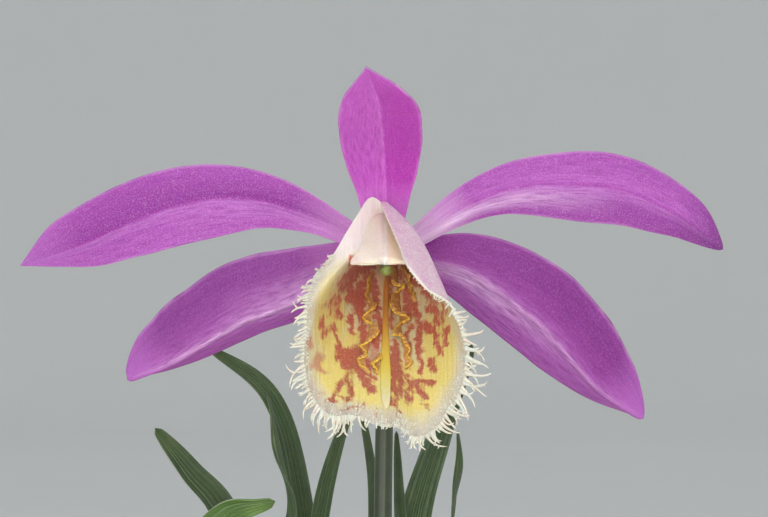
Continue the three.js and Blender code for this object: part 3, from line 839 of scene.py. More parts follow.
@dataclass(frozen=True)
class FrontView:
    """The viewpoint straight in front of the flower, and the plane of the lip's mouth seen from it.

    Front coordinates are mm to the right of the flower's midline and mm below the column's edge, on
    that plane.
    """

    distance: float = 454.0
    height: float = 195.0
    plane: float = 418.3
    edge_drop: float = 0.49
    pixels_across: float = 768.0
    focus_pixels: float = 2970.0

    def coordinates(self, points: Array) -> Array:
        """Projects points onto the plane.

        Args:
            points: places in mm.

        Returns:
            Their front coordinates, two a row.
        """
        scale = self.plane / (self.distance + points[..., 1])
        right = points[..., 0] * scale
        down = (self.height - points[..., 2]) * scale - self.edge_drop
        return np.stack([right, down], axis=-1)


VIEW = FrontView()


# Sepals and petals


@dataclass
class Tepal:
    """A sepal or petal: a blade about a midline, creased along it, with veins and a wavy edge."""

    name: str
    midline: Sequence[Point]
    upper: Sequence[float]
    lower: Sequence[float]
    finish: TepalFinish
    side: Point = UP
    fold: tuple[float, float] = (0.0, 0.0)
    lift: float = 0.06
    crease: float = 0.35
    roundness: float = 1.35
    wave: float = 0.25
    seed: float = 0.0
    thickness: float = 0.34
    columns: int = 56
    rows: int = 150
    veins: int = 9

    def surface(self, u: Array, v: Array) -> Array:
        """Points of the blade's face; u goes from its lower edge to its upper one."""
        path = Path(self.midline)
        across, front = path.axes(v, self.side, TOWARDS_VIEWER)
        place = 2 * u - 1
        upper = graded(self.upper, v, self.roundness)
        lower = graded(self.lower, v, self.roundness)
        reach = np.where(place < 0.0, place * lower, place * upper)
        width = np.where(place < 0.0, lower, upper)
        bend = np.radians(self.fold[0] + (self.fold[1] - self.fold[0]) * v)
        turned = np.where(place < 0.0, bend * smooth_step(0.0, 1.3, -reach), 0.0)
        side = reach * np.cos(turned)
        depth = reach * np.sin(turned)
        full = np.minimum(1.0, width / 3.0)
        depth = depth + self.lift * np.abs(reach)
        depth -= self.crease * np.exp(-((reach / 0.55) ** 2)) * full * (1.0 - v) ** 0.3
        depth += 0.3 * full * np.sin(np.pi * np.abs(place)) ** 2
        depth += 0.045 * full * np.cos(2 * np.pi * self.veins * place * 0.5)
        swell = np.sin(9.0 * v + 2.1 * self.seed) + 0.6 * np.sin(21.0 * v + 4.0 * self.seed + place)
        depth += self.wave * full * np.abs(place) ** 3 * swell
        side = side + 0.04 * full * place**5 * np.sin(33.0 * v + self.seed)
        return path.at(v) + across * side[:, None] + front * depth[:, None]

    def build(self) -> None:
        """Models the piece and puts it in place of its node."""
        obj = shaped_grid(self.name + "_blade", self.columns, self.rows, self.surface)
        face_towards(obj, TOWARDS_VIEWER)
        thicken(obj, self.thickness, self.finish, Finishes.petal_back, Finishes.petal_edge)
        face_outwards(obj)
        hand_over(obj, replaces=(self.name,))


TEPALS = (
    Tepal(
        "petal_left",
        ((-1.4, -4.6, 196.6), (-4.4, -5.4, 198.1), (-11.4, -6.8, 201.5), (-20, -7.4, 204), (-29.2, -6.6, 203.6),
         (-37.9, -4.2, 200.8), (-46.2, -0.8, 197.1), (-56, 3.3, 193.9)),
        (1.5, 2.4, 3.65, 4.7, 5.5, 5.8, 5.7, 4.6, 0),
        (1.4, 2.0, 3.4, 5.3, 6.2, 5.8, 4.7, 2.4, 0),
        Finishes.petal_left, seed=0.3,
    ),
    Tepal(
        "petal_right",
        ((2.2, -4.6, 196.6), (5.0, -5.4, 198.2), (11, -6.8, 202.1), (19, -7.4, 205.4), (27.6, -6.6, 206.1),
         (36.2, -4.2, 205.3), (44.1, -0.8, 202), (52.2, 3.2, 196.4)),
        (1.5, 2.3, 3.4, 4.2, 5.0, 5.2, 4.8, 3.9, 0),
        (1.3, 1.9, 2.8, 4.2, 5.4, 5.5, 4.6, 2.8, 0),
        Finishes.petal_right, seed=1.9, roundness=1.8,
    ),
    Tepal(
        "lateral_sepal_left",
        ((-1.2, -3.4, 195.2), (-3.4, -3.0, 194.4), (-8.8, -3, 191.1), (-15, -2.4, 187.9), (-21.3, -1, 185.5),
         (-27.2, 1, 182.2), (-33, 3.4, 178.9), (-39.8, 6.2, 176.2)),
        (2.4, 5.3, 7.5, 8.9, 9.1, 8.7, 8.1, 6.4, 0),
        (1.6, 3.9, 5.1, 5.6, 5.4, 4.8, 3.6, 2.0, 0),
        Finishes.sepal_left, fold=(55.0, 75.0), crease=-0.15, roundness=2.3, seed=3.1, wave=0.1,
    ),
    Tepal(
        "lateral_sepal_right",
        ((2.0, -3.4, 195.2), (4.6, -3.0, 194.9), (11.2, -3, 193.7), (17.5, -2.4, 190.1), (23.3, -1, 185.4),
         (28.3, 1, 180.2), (33.4, 3.4, 174.8), (40.2, 6.2, 170.2)),
        (1.9, 4.1, 6.5, 8.0, 8.8, 8.8, 8.2, 6.3, 0),
        (1.6, 4.4, 5.8, 6.6, 6.6, 6.0, 4.6, 2.6, 0),
        Finishes.sepal_right, fold=(22.0, 70.0), crease=-0.15, roundness=1.8, seed=4.4, wave=0.1,
    ),
    Tepal(
        "dorsal_sepal",
        ((0.4, -3.6, 198.0), (0.3, -4.6, 202.4), (0.2, -6.8, 206.4), (0, -11.2, 210.5), (-0.3, -17.2, 213.9),
         (-0.7, -23.6, 216.7), (-1.5, -29.8, 219.3), (-2.5, -35.6, 221.8)),
        (2.2, 3.4, 4.6, 5.5, 5.9, 6.0, 5.4, 3.5, 0),
        (2.5, 3.9, 5.1, 6.0, 6.3, 6.2, 5.4, 3.3, 0),
        Finishes.dorsal, side=(1.0, 0.0, 0.0), lift=0.12, crease=0.3, roundness=1.2, seed=5.2,
    ),
)


# Lip


@dataclass(frozen=True)
class Stroke:
    """One mark on the lip: a line in front coordinates and half its breadth, in mm."""

    half: float
    line: tuple[tuple[float, float], ...]

    def inside(self, places: Array) -> Array:
        """How far inside the mark each place is, negative outside it.

        Args:
            places: front coordinates, two a row.

        Returns:
            A distance in mm for each.
        """
        nearest = np.full(len(places), np.inf)
        spans = zip(self.line, self.line[1:]) if len(self.line) > 1 else ((self.line[0], self.line[0]),)
        for start, end in spans:
            a, b = np.array(start), np.array(end)
            way = b - a
            part = np.clip((places - a) @ way / max(way @ way, 1e-9), 0.0, 1.0)
            nearest = np.minimum(nearest, np.linalg.norm(places - a - part[:, None] * way, axis=1))
        return self.half - nearest


# The brick-red marks: streaks that fan out of the throat, dense blocks beside the crests, and spots
MARKS = (
    Stroke(0.32, ((-5.0, 0.1), (-4.5, -0.6))),
    Stroke(0.42, ((-2.2, 0.3), (-4.1, 1.0), (-5.4, 2.1), (-6.3, 2.9))),
    Stroke(0.42, ((-1.6, 0.4), (-3.3, 1.5), (-4.8, 2.9), (-6.0, 3.8))),
    Stroke(0.30, ((-1.4, 0.6), (-2.4, 1.9), (-3.0, 3.1))),
    Stroke(0.62, ((-2.8, 3.0), (-4.5, 5.4))),
    Stroke(0.62, ((-3.1, 4.2), (-3.1, 7.9))),
    Stroke(0.42, ((-4.5, 3.9), (-5.4, 5.4))),
    Stroke(0.55, ((-3.8, 5.4), (-3.8, 7.0))),
    Stroke(0.30, ((-7.2, 4.8), (-7.5, 6.1))),
    Stroke(0.27, ((-6.5, 4.9), (-6.8, 5.8))),
    Stroke(0.27, ((-7.4, 6.5), (-7.5, 7.4))),
    Stroke(0.28, ((-8.8, 6.1), (-8.2, 6.3))),
    Stroke(0.37, ((-6.3, 6.6), (-6.3, 7.9))),
    Stroke(0.33, ((-8.6, 7.7), (-8.8, 9.2))),
    Stroke(0.36, ((-8.0, 9.6), (-8.5, 10.4))),
    Stroke(0.38, ((-7.1, 8.8), (-6.8, 10.6), (-6.3, 12.0), (-6.5, 13.5))),
    Stroke(0.80, ((-5.9, 12.7), (-3.4, 12.7))),
    Stroke(0.95, ((-5.5, 14.1), (-3.7, 14.4))),
    Stroke(0.80, ((-4.5, 13.4), (-3.1, 14.9))),
    Stroke(0.45, ((-4.8, 7.7), (-4.5, 10.0))),
    Stroke(0.52, ((-3.3, 6.8), (-2.7, 10.5), (-3.0, 11.8))),
    Stroke(0.58, ((-1.5, 2.4), (-1.0, 6.8), (-0.7, 9.2), (-1.1, 11.8))),
    Stroke(0.40, ((-1.7, 3.2), (-1.3, 5.4))),
    Stroke(0.30, ((1.0, 2.0), (1.0, 9.4))),
    Stroke(0.42, ((1.4, 11.0), (1.4, 20.0))),
    Stroke(0.40, ((1.8, 11.7), (2.1, 15.9))),
    Stroke(0.65, ((3.2, 3.9), (3.7, 7.9))),
    Stroke(0.55, ((4.4, 5.8), (4.8, 7.6))),
    Stroke(0.48, ((4.9, 7.9), (5.2, 15.4))),
    Stroke(0.40, ((3.7, 9.0), (3.1, 11.1), (3.5, 12.7))),
    Stroke(0.42, ((3.8, 2.1), (5.4, 3.6), (6.7, 5.5), (7.4, 7.4), (7.5, 8.7))),
    Stroke(0.20, ((7.2, 5.5), (8.2, 5.7), (8.8, 6.8))),
    Stroke(0.27, ((8.3, 7.0), (8.4, 7.9))),
    Stroke(0.36, ((6.3, 6.3), (6.6, 7.2))),
    Stroke(0.62, ((5.9, 8.9), (7.2, 10.3))),
    Stroke(0.30, ((7.2, 10.4), (7.4, 11.7))),
    Stroke(0.42, ((7.4, 11.7), (8.0, 12.8))),
    Stroke(0.48, ((8.8, 9.3), (8.6, 11.1))),
    Stroke(0.46, ((7.0, 13.8), (6.9, 15.2))),
    Stroke(0.42, ((4.2, 16.9), (7.0, 17.0))),
    Stroke(0.55, ((4.4, 17.5), (5.9, 19.0))),
    Stroke(0.24, ((5.7, 20.0), (6.5, 20.5))),
    Stroke(0.28, ((2.3, 17.3), (2.0, 20.0))),
    Stroke(0.42, ((3.5, 15.8), (3.5, 19.7))),
    Stroke(0.42, ((2.1, 21.1),)),
    Stroke(0.68, ((-3.5, 15.6), (-1.8, 17.7))),
    Stroke(0.42, ((-4.8, 15.8), (-6.3, 17.3), (-7.5, 19.6))),
    Stroke(0.34, ((-4.6, 16.9), (-4.8, 19.2))),
    Stroke(0.26, ((-5.6, 19.2),)),
    Stroke(0.22, ((-6.2, 21.1), (-4.8, 20.5), (-3.1, 20.1))),
    Stroke(0.16, ((-3.5, 20.9),)),
    Stroke(0.13, ((-1.3, 21.4), (-1.2, 20.5))),
    Stroke(0.42, ((-2.6, 13.9), (-1.5, 16.2))),
    Stroke(0.50, ((1.0, 13.4), (1.8, 15.4), (2.3, 16.6))),
    Stroke(0.26, ((1.8, 0.6), (2.0, 1.5), (2.9, 2.9))),
    Stroke(0.34, ((2.7, 0.4), (3.5, 1.5), (3.9, 2.3))),
)
# Faded marks near the left margin and between the crests
FAINT_MARKS = (
    Stroke(0.80, ((-10.6, 11.5),)),
    Stroke(0.90, ((-1.5, 11.6), (-1.3, 14.6))),
    Stroke(0.62, ((-9.2, 13.5), (-9.6, 14.6), (-8.6, 15.4))),
    Stroke(0.55, ((-9.3, 18.5),)),
)
# Yellow zones: centre and half sizes in front coordinates
YELLOW_ZONES = (
    ((-7.6, 8.0), (2.4, 6.5)), ((7.6, 12.5), (2.6, 6.5)), ((-6.6, 15.0), (3.2, 4.5)),
    ((-3.0, 18.5), (5.5, 2.6)), ((-4.3, 10.9), (1.9, 1.5)), ((3.4, 17.8), (5.5, 4.0)),
    ((0.2, 15.6), (1.6, 2.2)),
)


@dataclass
class Lip:
    """The fringed lip: a funnel round the column, with marks, crests and a margin of threads."""

    foot: Point = (0.4, -4.6, 196.4)
    foot_radius: float = 2.4
    open_angles: tuple[float, float] = (98.0, 442.0)
    top_spread: float = 0.9
    floor_spread: float = 1.5
    depth_power: float = 1.3
    columns: int = 210
    rows: int = 132
    curl_rows: int = 22
    thickness: float = 0.3
    # Short fine threads on the face beside the margin, where the fringe starts
    border_threads: int = 420
    # How far the marks' outlines stray, in mm
    mark_wander: float = 0.6
    # The left lobe beside the column: where it ends round the mouth, and its spread and depth powers
    lobe_span: tuple[float, float] = (0.16, 0.26)
    lobe_spread: float = 2.75
    lobe_depth: float = 2.5
    # How far round, as a part below 0, the left margin is tucked under the right one
    tuck: float = -2 / 24
    # Rim from the tucked left margin over its top, down round the mouth and up to the right of the top
    rim: Sequence[Point] = (
        (1.2, -14.5, 201.5), (0.0, -17.2, 202.9), (-1.75, -19.0, 204.0), (-3.5, -22, 201.9),
        (-5.3, -25.5, 199), (-7.2, -29.5, 195.7), (-9.8, -33, 192.2), (-10.9, -35.5, 188.8),
        (-11.3, -37.2, 184), (-11.3, -38.2, 179.5), (-10.1, -39, 175.3), (-7.4, -40, 172.8),
        (-4.6, -41.8, 173), (-0.6, -42.6, 171.9), (1.8, -42, 171.6), (4.4, -41, 170), (7.4, -40, 171.2),
        (9.9, -38.9, 174.9), (11.7, -38, 179.6), (11.3, -37.2, 184.3), (9.6, -35, 188.3), (7.9, -32.5, 191.6),
        (6.6, -30, 194.6), (5.6, -27.5, 196.7), (3.7, -24, 199.6), (1.65, -20.9, 201.7), (0.45, -18.8, 202.7),
    )
    # Where the right side curls over the column, its free margin, from the mouth up to the top
    curled_margin: Sequence[Point] = (
        (9.2, -36.0, 188.4), (5.9, -37.6, 190.6), (3.2, -36.6, 193.9), (2.1, -32.2, 196.7), (1.0, -27.6, 199.3),
        (0.0, -23.2, 201.7), (-0.5, -20.2, 203.0),
    )
    curl_start: float = 0.735
    curl_full: float = 0.8
    flat_part: float = 0.88
    # The ridge between the crests, in front coordinates, and its half width from throat to apex
    ridge: Sequence[Point] = (
        (0.35, 0.6), (0.3, 4.0), (0.25, 8.0), (0.2, 12.0), (0.2, 16.0), (0.3, 20.0), (0.4, 22.6),
    )
    ridge_width: Sequence[float] = (0.4, 0.42, 0.42, 0.42, 0.5, 0.75, 0.6)
    # Seed of the fringe's draws, its two ends round the mouth, and the longest thread that never forks
    fringe_seed: int = 41
    fringe_span: tuple[float, float] = (0.128, 0.95)
    fork_length: float = 1.3
    grid: Array = field(init=False)

    def __post_init__(self) -> None:
        """Works out the lip's grid of points, rows from foot to margin."""
        self.rim_path = Path(self.rim)
        keep = len(self.rim) - len(self.curled_margin)
        self.margin_path = Path([*self.rim[:keep], *self.curled_margin])
        s = self.tuck + (1.0 - self.tuck) * np.linspace(0.0, 1.0, self.columns + 1)
        flat_rows = self.rows - self.curl_rows
        curl = smooth_step(self.curl_start, self.curl_full, s)
        fold_at = self.flat_part + (1.0 - self.flat_part) * curl
        rows = [self.funnel(s, fold_at * i / flat_rows) for i in range(flat_rows + 1)]
        fold = rows[-1]
        outward = unit(fold - rows[-2])
        margin = self.margin_path.at_index(self.part_of(s))
        gap = np.linalg.norm(margin - fold, axis=1)
        reach = np.where(curl > 0.5, 0.75, 0.45 * gap)
        control = fold + outward * reach[:, None]
        for i in range(1, self.curl_rows + 1):
            t = i / self.curl_rows
            rows.append((1 - t) ** 2 * fold + 2 * t * (1 - t) * control + t * t * margin)
        self.grid = np.stack(rows)
        self.grid += self.ruffle(s)
        steps = np.linalg.norm(np.diff(self.grid, axis=0), axis=2)
        self.to_margin = np.concatenate([np.cumsum(steps[::-1], axis=0)[::-1], np.zeros((1, len(s)))])

    def part_of(self, s: Array) -> Array:
        """Which part of the rim's list a place round the mouth is at."""
        return (s - self.tuck) / (1.0 - self.tuck)

    def funnel(self, s: Array, r: Array) -> Array:
        """Points of the plain funnel.

        Args:
            s: round the mouth, from 0 at the left of the top to 1 at the right of it.
            r: from 0 at the foot to 1 at the rim.

        Returns:
            The points.
        """
        angle = np.radians(self.open_angles[0] + (self.open_angles[1] - self.open_angles[0]) * s)
        edge = self.rim_path.at_index(self.part_of(s))
        low = np.sin(np.pi * s) ** 2
        lobe = 1.0 - smooth_step(*self.lobe_span, s)
        spread_power = self.top_spread + (self.floor_spread - self.top_spread) * low
        spread = r ** (spread_power + (self.lobe_spread - spread_power) * lobe)
        depth = 1.0 - (1.0 - r) ** (self.depth_power + (self.lobe_depth - self.depth_power) * lobe)
        foot_x = self.foot[0] + self.foot_radius * np.cos(angle)
        foot_z = self.foot[2] + self.foot_radius * np.sin(angle)
        x = foot_x + (edge[:, 0] - foot_x) * spread
        y = self.foot[1] + (edge[:, 1] - self.foot[1]) * depth
        z = foot_z + (edge[:, 2] - foot_z) * spread
        return np.stack([x, y, z], axis=-1)

    def ruffle(self, s: Array) -> Array:
        """Small waves that grow towards the fringed margin.

        Args:
            s: the columns' places round the mouth.

        Returns:
            An offset for each point of the grid.
        """
        fringed = smooth_step(0.1, 0.2, s) * (1.0 - smooth_step(0.69, 0.74, s))
        wave = np.sin(71.0 * s) + 0.7 * np.sin(119.0 * s + 1.3) + 0.5 * np.sin(203.0 * s + 0.4)
        r = np.linspace(0.0, 1.0, self.rows + 1)[:, None]
        grow = smooth_step(0.72, 1.0, r) ** 1.6
        floor_low = np.exp(-(((s - 0.47) / 0.17) ** 2))[None, :] * np.sin(np.pi * np.clip(r, 0, 1)) ** 2
        push = 0.42 * grow * (fringed * wave)[None, :] + 0.15 * floor_low * np.cos(170.0 * s)[None, :]
        towards = np.stack([0.25 * np.cos(9 * s), np.full_like(s, -0.8), 0.35 * np.sin(7 * s)], axis=-1)
        return push[..., None] * towards[None, ...]

    def surface(self, u: Array, v: Array) -> Array:
        """Reads the grid at its own points."""
        return self.grid[np.rint(v * self.rows).astype(int), np.rint(u * self.columns).astype(int)]

    def on_floor(self, places: Array) -> Array:
        """Finds places of the front view on the lip's inner face.

        Args:
            places: front coordinates, two a row.

        Returns:
            Points in mm.
        """
        low, high = (int(self.part_of(s) * self.columns) for s in (0.2, 0.72))
        floor = self.grid[: self.rows - self.curl_rows // 2, low:high].reshape(-1, 3)
        seen = VIEW.coordinates(floor)
        found = []
        for place in places:
            gap = np.linalg.norm(seen - place, axis=1)
            near = np.argpartition(gap, 4)[:4]
            weight = 1.0 / (gap[near] + 0.02)
            found.append((floor[near] * weight[:, None]).sum(axis=0) / weight.sum())
        return np.array(found)

    def build_face(self) -> None:
        """Models the lip's blade and lays out its marks and zones."""
        obj = shaped_grid("lip_blade", self.columns, self.rows, self.surface, welded=False)
        u = np.tile(np.linspace(self.tuck, 1.0, self.columns + 1), self.rows + 1)
        points = points_of(obj)
        seen = VIEW.coordinates(points)
        margin = self.to_margin.reshape(-1)
        stray = [ripple(points, 1.3, seed) + 0.6 * ripple(points, 0.5, seed + 1) for seed in (3, 8)]
        placed = seen + self.mark_wander * np.column_stack(stray)
        mark = np.max([stroke.inside(placed) for stroke in MARKS], axis=0)
        faint = np.max([stroke.inside(placed) for stroke in FAINT_MARKS], axis=0)
        outside = (u > self.curl_start) | (u < 0.1)
        keep_values(obj, "mark", np.where(outside & (seen[:, 1] < 0.4), -3.0, np.clip(mark, -3.0, 2.0)))
        keep_values(obj, "faint", np.clip(faint, -3.0, 2.0))
        keep_values(obj, "front", np.column_stack([seen, margin]))
        warm = np.zeros(len(points))
        for (x, d), (half_x, half_d) in YELLOW_ZONES:
            away = np.hypot((seen[:, 0] - x) / half_x, (seen[:, 1] - d) / half_d)
            warm = np.maximum(warm, 1.0 - smooth_step(0.5, 1.3, away))
        throat = np.hypot((seen[:, 0] - 0.4) / 5.4, (seen[:, 1] - 2.0) / 9.0)
        tan = 0.6 * (1.0 - smooth_step(0.45, 1.1, throat))
        side = smooth_step(-2.0, 7.0, -seen[:, 1] + 5.0) * smooth_step(4.0, 9.0, np.abs(seen[:, 0]))
        high = smooth_step(-2.0, 3.0, -seen[:, 1])
        blush = np.maximum(0.45 * side, 0.95 * high)
        keep_values(obj, "zones", np.column_stack([warm, tan, blush]))
        face_towards(obj, TOWARDS_VIEWER)
        thicken(obj, self.thickness, Finishes.lip_face, Finishes.lip_back, Finishes.lip_edge)
        hand_over(obj, replaces=("lip",))

    def build_threads(self) -> None:
        """Models the fringe: tapered, curved threads along the margin, some of them forked."""
        draw = random.Random(self.fringe_seed)
        shape = Thread.first()
        threads = []
        s, end = self.fringe_span
        while s < end:
            base, out, along, normal = self.margin_axes(s)
            length = Thread.length_at(s) * draw.choice((0.45, 0.75, 0.95, 1.1, 1.25)) * draw.uniform(0.85, 1.15)
            sway = draw.uniform(-0.5, 0.5)
            lift = draw.uniform(-0.5, 0.3)
            curl = draw.choice((-0.5, 0.1, 0.3, 0.9)) * draw.uniform(0.5, 1.0)
            heading = unit(out + along * draw.uniform(-0.35, 0.35))
            line = Thread.line(base - 0.3 * out, heading, along, normal, length, sway, lift, curl)
            radius = draw.uniform(0.15, 0.21) * min(1.0, 0.6 + length / 5.0)
            threads.append(shape.laid(line, radius))
            if length > self.fork_length and draw.random() < 0.5:
                joint = line[len(line) // 2]
                aside = unit(heading + along * draw.choice((-0.9, 0.9)))
                branch = Thread.line(joint, aside, along, normal, 0.45 * length, -sway, lift, -curl)
                threads.append(shape.laid(branch, 0.72 * radius))
            s += draw.uniform(0.3, 0.65) / self.margin_path.length * Thread.spacing_at(s)
        for _ in range(self.border_threads):
            s, inside = draw.uniform(0.13, 0.74), draw.choice((1, 2, 3, 5, 7, 10))
            base, out, along, normal = self.margin_axes(s, inside)
            heading = unit(out + 0.6 * np.array(TOWARDS_VIEWER) + along * draw.uniform(-0.7, 0.7))
            length, sway = draw.uniform(0.3, 0.75), draw.uniform(-0.6, 0.6)
            line = Thread.line(base, heading, along, normal, length, sway, 0.0, 0.0)
            threads.append(shape.laid(line, draw.uniform(0.06, 0.1)))
        bpy.data.objects.remove(shape.obj)
        fringe = joined("lip_fringe", threads)
        hand_over(fringe, Finishes.fringe)

    def margin_axes(self, s: float, inside: int = 0) -> tuple[Array, Array, Array, Array]:
        """A point on or near the margin and the directions there.

        Args:
            s: round the mouth, from 0 to 1.
            inside: how many rows of the grid it is in from the margin.

        Returns:
            The point, outwards in the blade, along the margin, and the blade's normal.
        """
        column = min(max(int(round(self.part_of(s) * self.columns)), 2), self.columns - 2)
        row = self.rows - inside
        point = self.grid[row, column]
        along = unit(self.grid[row, column + 2] - self.grid[row, column - 2])
        blade = unit(point - self.grid[row - 5, column])
        flat = unit(np.cross(along, np.array(TOWARDS_VIEWER)))
        flat *= np.sign(flat @ blade)
        out = unit(0.55 * blade + 0.75 * flat)
        return point, out, along, unit(np.cross(out, along))

    def build_crests(self) -> None:
        """Models the crinkled crests and the straight ridge between them."""
        for crest in CRESTS:
            crest.build(self)
        path = Path(self.on_floor(np.array(self.ridge)) + np.array([0.0, -0.12, 0.05]))
        surface = stem_surface(
            path, lambda v: graded(self.ridge_width, v), lambda v: 0.24 - 0.14 * v**2, cap=0.05,
        )
        obj = shaped_grid("lip_ridge", 14, 90, surface)
        face_outwards(obj)
        hand_over(obj, RidgeFinish())

    def build(self) -> None:
        """Models the whole lip."""
        self.build_face()
        self.build_crests()
        self.build_threads()


@dataclass
class Thread:
    """One thread of the fringe: a round tapered tube modelled once and laid along many lines."""

    obj: Piece
    u: Array
    v: Array
    sides: ClassVar[int] = 6
    rings: ClassVar[int] = 9
    # The radius at each ring beside the one asked for
    taper: ClassVar[Sequence[float]] = (2.3, 1.75, 1.35, 1.1, 0.95, 0.86, 0.8, 0.74, 0.62, 0.05)

    @classmethod
    def first(cls) -> "Thread":
        """Models the first thread, straight up."""
        kept: list[Array] = []

        def upright(u: Array, v: Array) -> Array:
            kept.extend((u, v))
            turn = 2 * np.pi * u
            return np.stack([np.cos(turn), np.sin(turn), v], axis=-1)

        obj = shaped_grid("thread", cls.sides, cls.rings, upright, welded=False)
        return cls(obj, kept[0], kept[1])

    @staticmethod
    def length_at(s: float) -> float:
        """How long the threads are round the mouth, in mm."""
        return float(np.interp(
            s,
            (0.12, 0.16, 0.22, 0.28, 0.34, 0.40, 0.43, 0.46, 0.51, 0.54, 0.60, 0.66, 0.70, 0.74, 0.78, 0.83),
            (0.8, 1.3, 1.9, 2.5, 2.8, 2.6, 1.5, 0.7, 0.7, 1.9, 2.6, 3.3, 2.8, 1.7, 0.8, 0.4),
        ))

    @staticmethod
    def spacing_at(s: float) -> float:
        """How far apart the threads stand, beside the usual."""
        return float(np.interp(s, (0.42, 0.45, 0.51, 0.53), (1.0, 1.7, 1.7, 1.0)))

    @staticmethod
    def line(
        start: Array, out: Array, along: Array, normal: Array, length: float, sway: float,
        lift: float, curl: float,
    ) -> Array:
        """The points that a thread follows.

        Args:
            start: where it leaves the margin.
            out: its first direction.
            along: the margin's direction.
            normal: the blade's normal.
            length: in mm.
            sway: how much it bends along the margin.
            lift: how much it bends off the blade.
            curl: how much its end hooks back.

        Returns:
            The points, from foot to end.
        """
        t = np.linspace(0.0, 1.0, Thread.rings + 1)[:, None]
        bend = along * (sway * t**2 + curl * t**4) + normal * (lift * t**2)
        return start + length * (out * (t - 0.12 * t**3) + 0.5 * bend)

    def laid(self, line: Array, radius: float) -> Piece:
        """Copies the thread along a line.

        Args:
            line: the points that it follows, one for each ring.
            radius: its radius about its middle, in mm.

        Returns:
            The copy.
        """
        copy = placed_copy(self.obj, Matrix.Identity(4))
        along = unit(np.gradient(line, axis=0))
        side = unit(np.cross(along, np.array((0.31, 0.94, 0.12))))
        front = np.cross(along, side)
        ring = np.rint(self.v * self.rings).astype(int)
        turn = 2 * np.pi * self.u
        reach = radius * np.array(self.taper)[ring]
        points = line[ring] + side[ring] * (reach * np.cos(turn))[:, None]
        points += front[ring] * (0.75 * reach * np.sin(turn))[:, None]
        copy.data.vertices.foreach_set("co", (points * MM).ravel())
        copy.data.update()
        return copy


@dataclass(frozen=True)
class RidgeFinish(Finish):
    """The straight ridge: waxy, tan in the throat, yellow below it and cream at the apex."""

    name: str = "median ridge"

    def paint(self, tree: Tree) -> dict:
        """Adds the nodes and returns the shader's inputs."""
        uv = node(tree, "UVMap", uv_map="UVMap")
        place = node(tree, "SeparateXYZ", {"Vector": uv}).outputs
        solid = node(tree, "TexCoord").outputs["Object"]
        grain = node(tree, "TexNoise", {"Vector": solid, "Scale": 1 / (0.5 * MM), "Detail": 3.0})
        shifted = node(tree, "Math", {0: grain, 1: 0.1, 2: place["Y"]}, operation="MULTIPLY_ADD")
        colour = node(
            tree, "ValToRGB", {"Fac": shifted},
            ramp=((0.0, "#D29658"), (0.3, "#DC9048"), (0.56, "#D29244"), (0.7, "#D6A640"), (0.8, "#D8B848"),
                  (0.88, "#DAC352"), (0.96, "#D9C87C"), (1.0, "#D8CD9E")),
        )
        bump = node(tree, "Bump", {"Height": grain, "Distance": 0.08 * MM})
        return {
            "Base Color": colour, "Roughness": 0.45, "Normal": bump,
            "Subsurface Weight": 0.2, "Subsurface Scale": 0.6 * MM,
        }


@dataclass(frozen=True)
class Crest:
    """A crinkled crest: a low wall on the lip's floor whose top edge wanders from side to side."""

    name: str
    foot: tuple[tuple[float, float], ...]
    top: tuple[tuple[float, float], ...]
    height: float = 1.2
    bead: float = 0.15

    def build(self, lip: Lip) -> None:
        """Models the crest's wall and its beaded edge on the lip.

        Args:
            lip: the lip that it stands on.
        """
        knots = np.array(self.top)
        count = 5 * (len(knots) - 1) + 1
        place = np.linspace(0, len(knots) - 1, count)
        top = np.column_stack([np.interp(place, np.arange(len(knots)), column) for column in knots.T])
        draw = random.Random(len(knots))
        top[1:-1] += [(draw.uniform(-0.1, 0.1), draw.uniform(-0.06, 0.06)) for _ in range(count - 2)]
        foot_line = np.array(self.foot)
        foot_x = np.interp(top[:, 1], foot_line[:, 1], foot_line[:, 0])
        foot = lip.on_floor(np.column_stack([foot_x, top[:, 1]]))
        crown = lip.on_floor(top)
        part = np.linspace(0.0, 1.0, len(top))
        rise = self.height * np.sin(np.pi * part) ** 0.35 * (1.0 + 0.12 * np.sin(2.4 * np.arange(count)))
        crown = crown + rise[:, None] * np.array([0.0, -1.0, 0.12])
        foot = foot + np.array([0.0, 0.15, 0.0])
        foot_path, crown_path = Path(foot), Path(crown)

        def wall(u: Array, v: Array) -> Array:
            low, high = foot_path.at_index(v), crown_path.at_index(v)
            bulge = 0.25 * np.sin(np.pi * u) * np.sin(6 * np.pi * v)
            return low + (high - low) * u[:, None] + np.column_stack([bulge, 0 * u, 0 * u])

        rows = 3 * len(top)
        sheet = shaped_grid(self.name, 8, rows, wall)
        face_towards(sheet, TOWARDS_VIEWER)
        thicken(sheet, 0.4, Finishes.crest_body)
        size = lambda v: self.bead * (0.55 + 0.45 * np.sin(np.pi * v) ** 0.4 + 0.12 * np.sin(60 * v))
        bead_surface = stem_surface(crown_path, size, size, side=(0.3, 0.2, 1.0), cap=0.02)
        bead = shaped_grid(self.name + "_bead", 8, rows, bead_surface)
        face_outwards(bead)
        bead.data.materials.append(Finishes.crest_edge.material())
        hand_over(joined(self.name, [sheet, bead]))


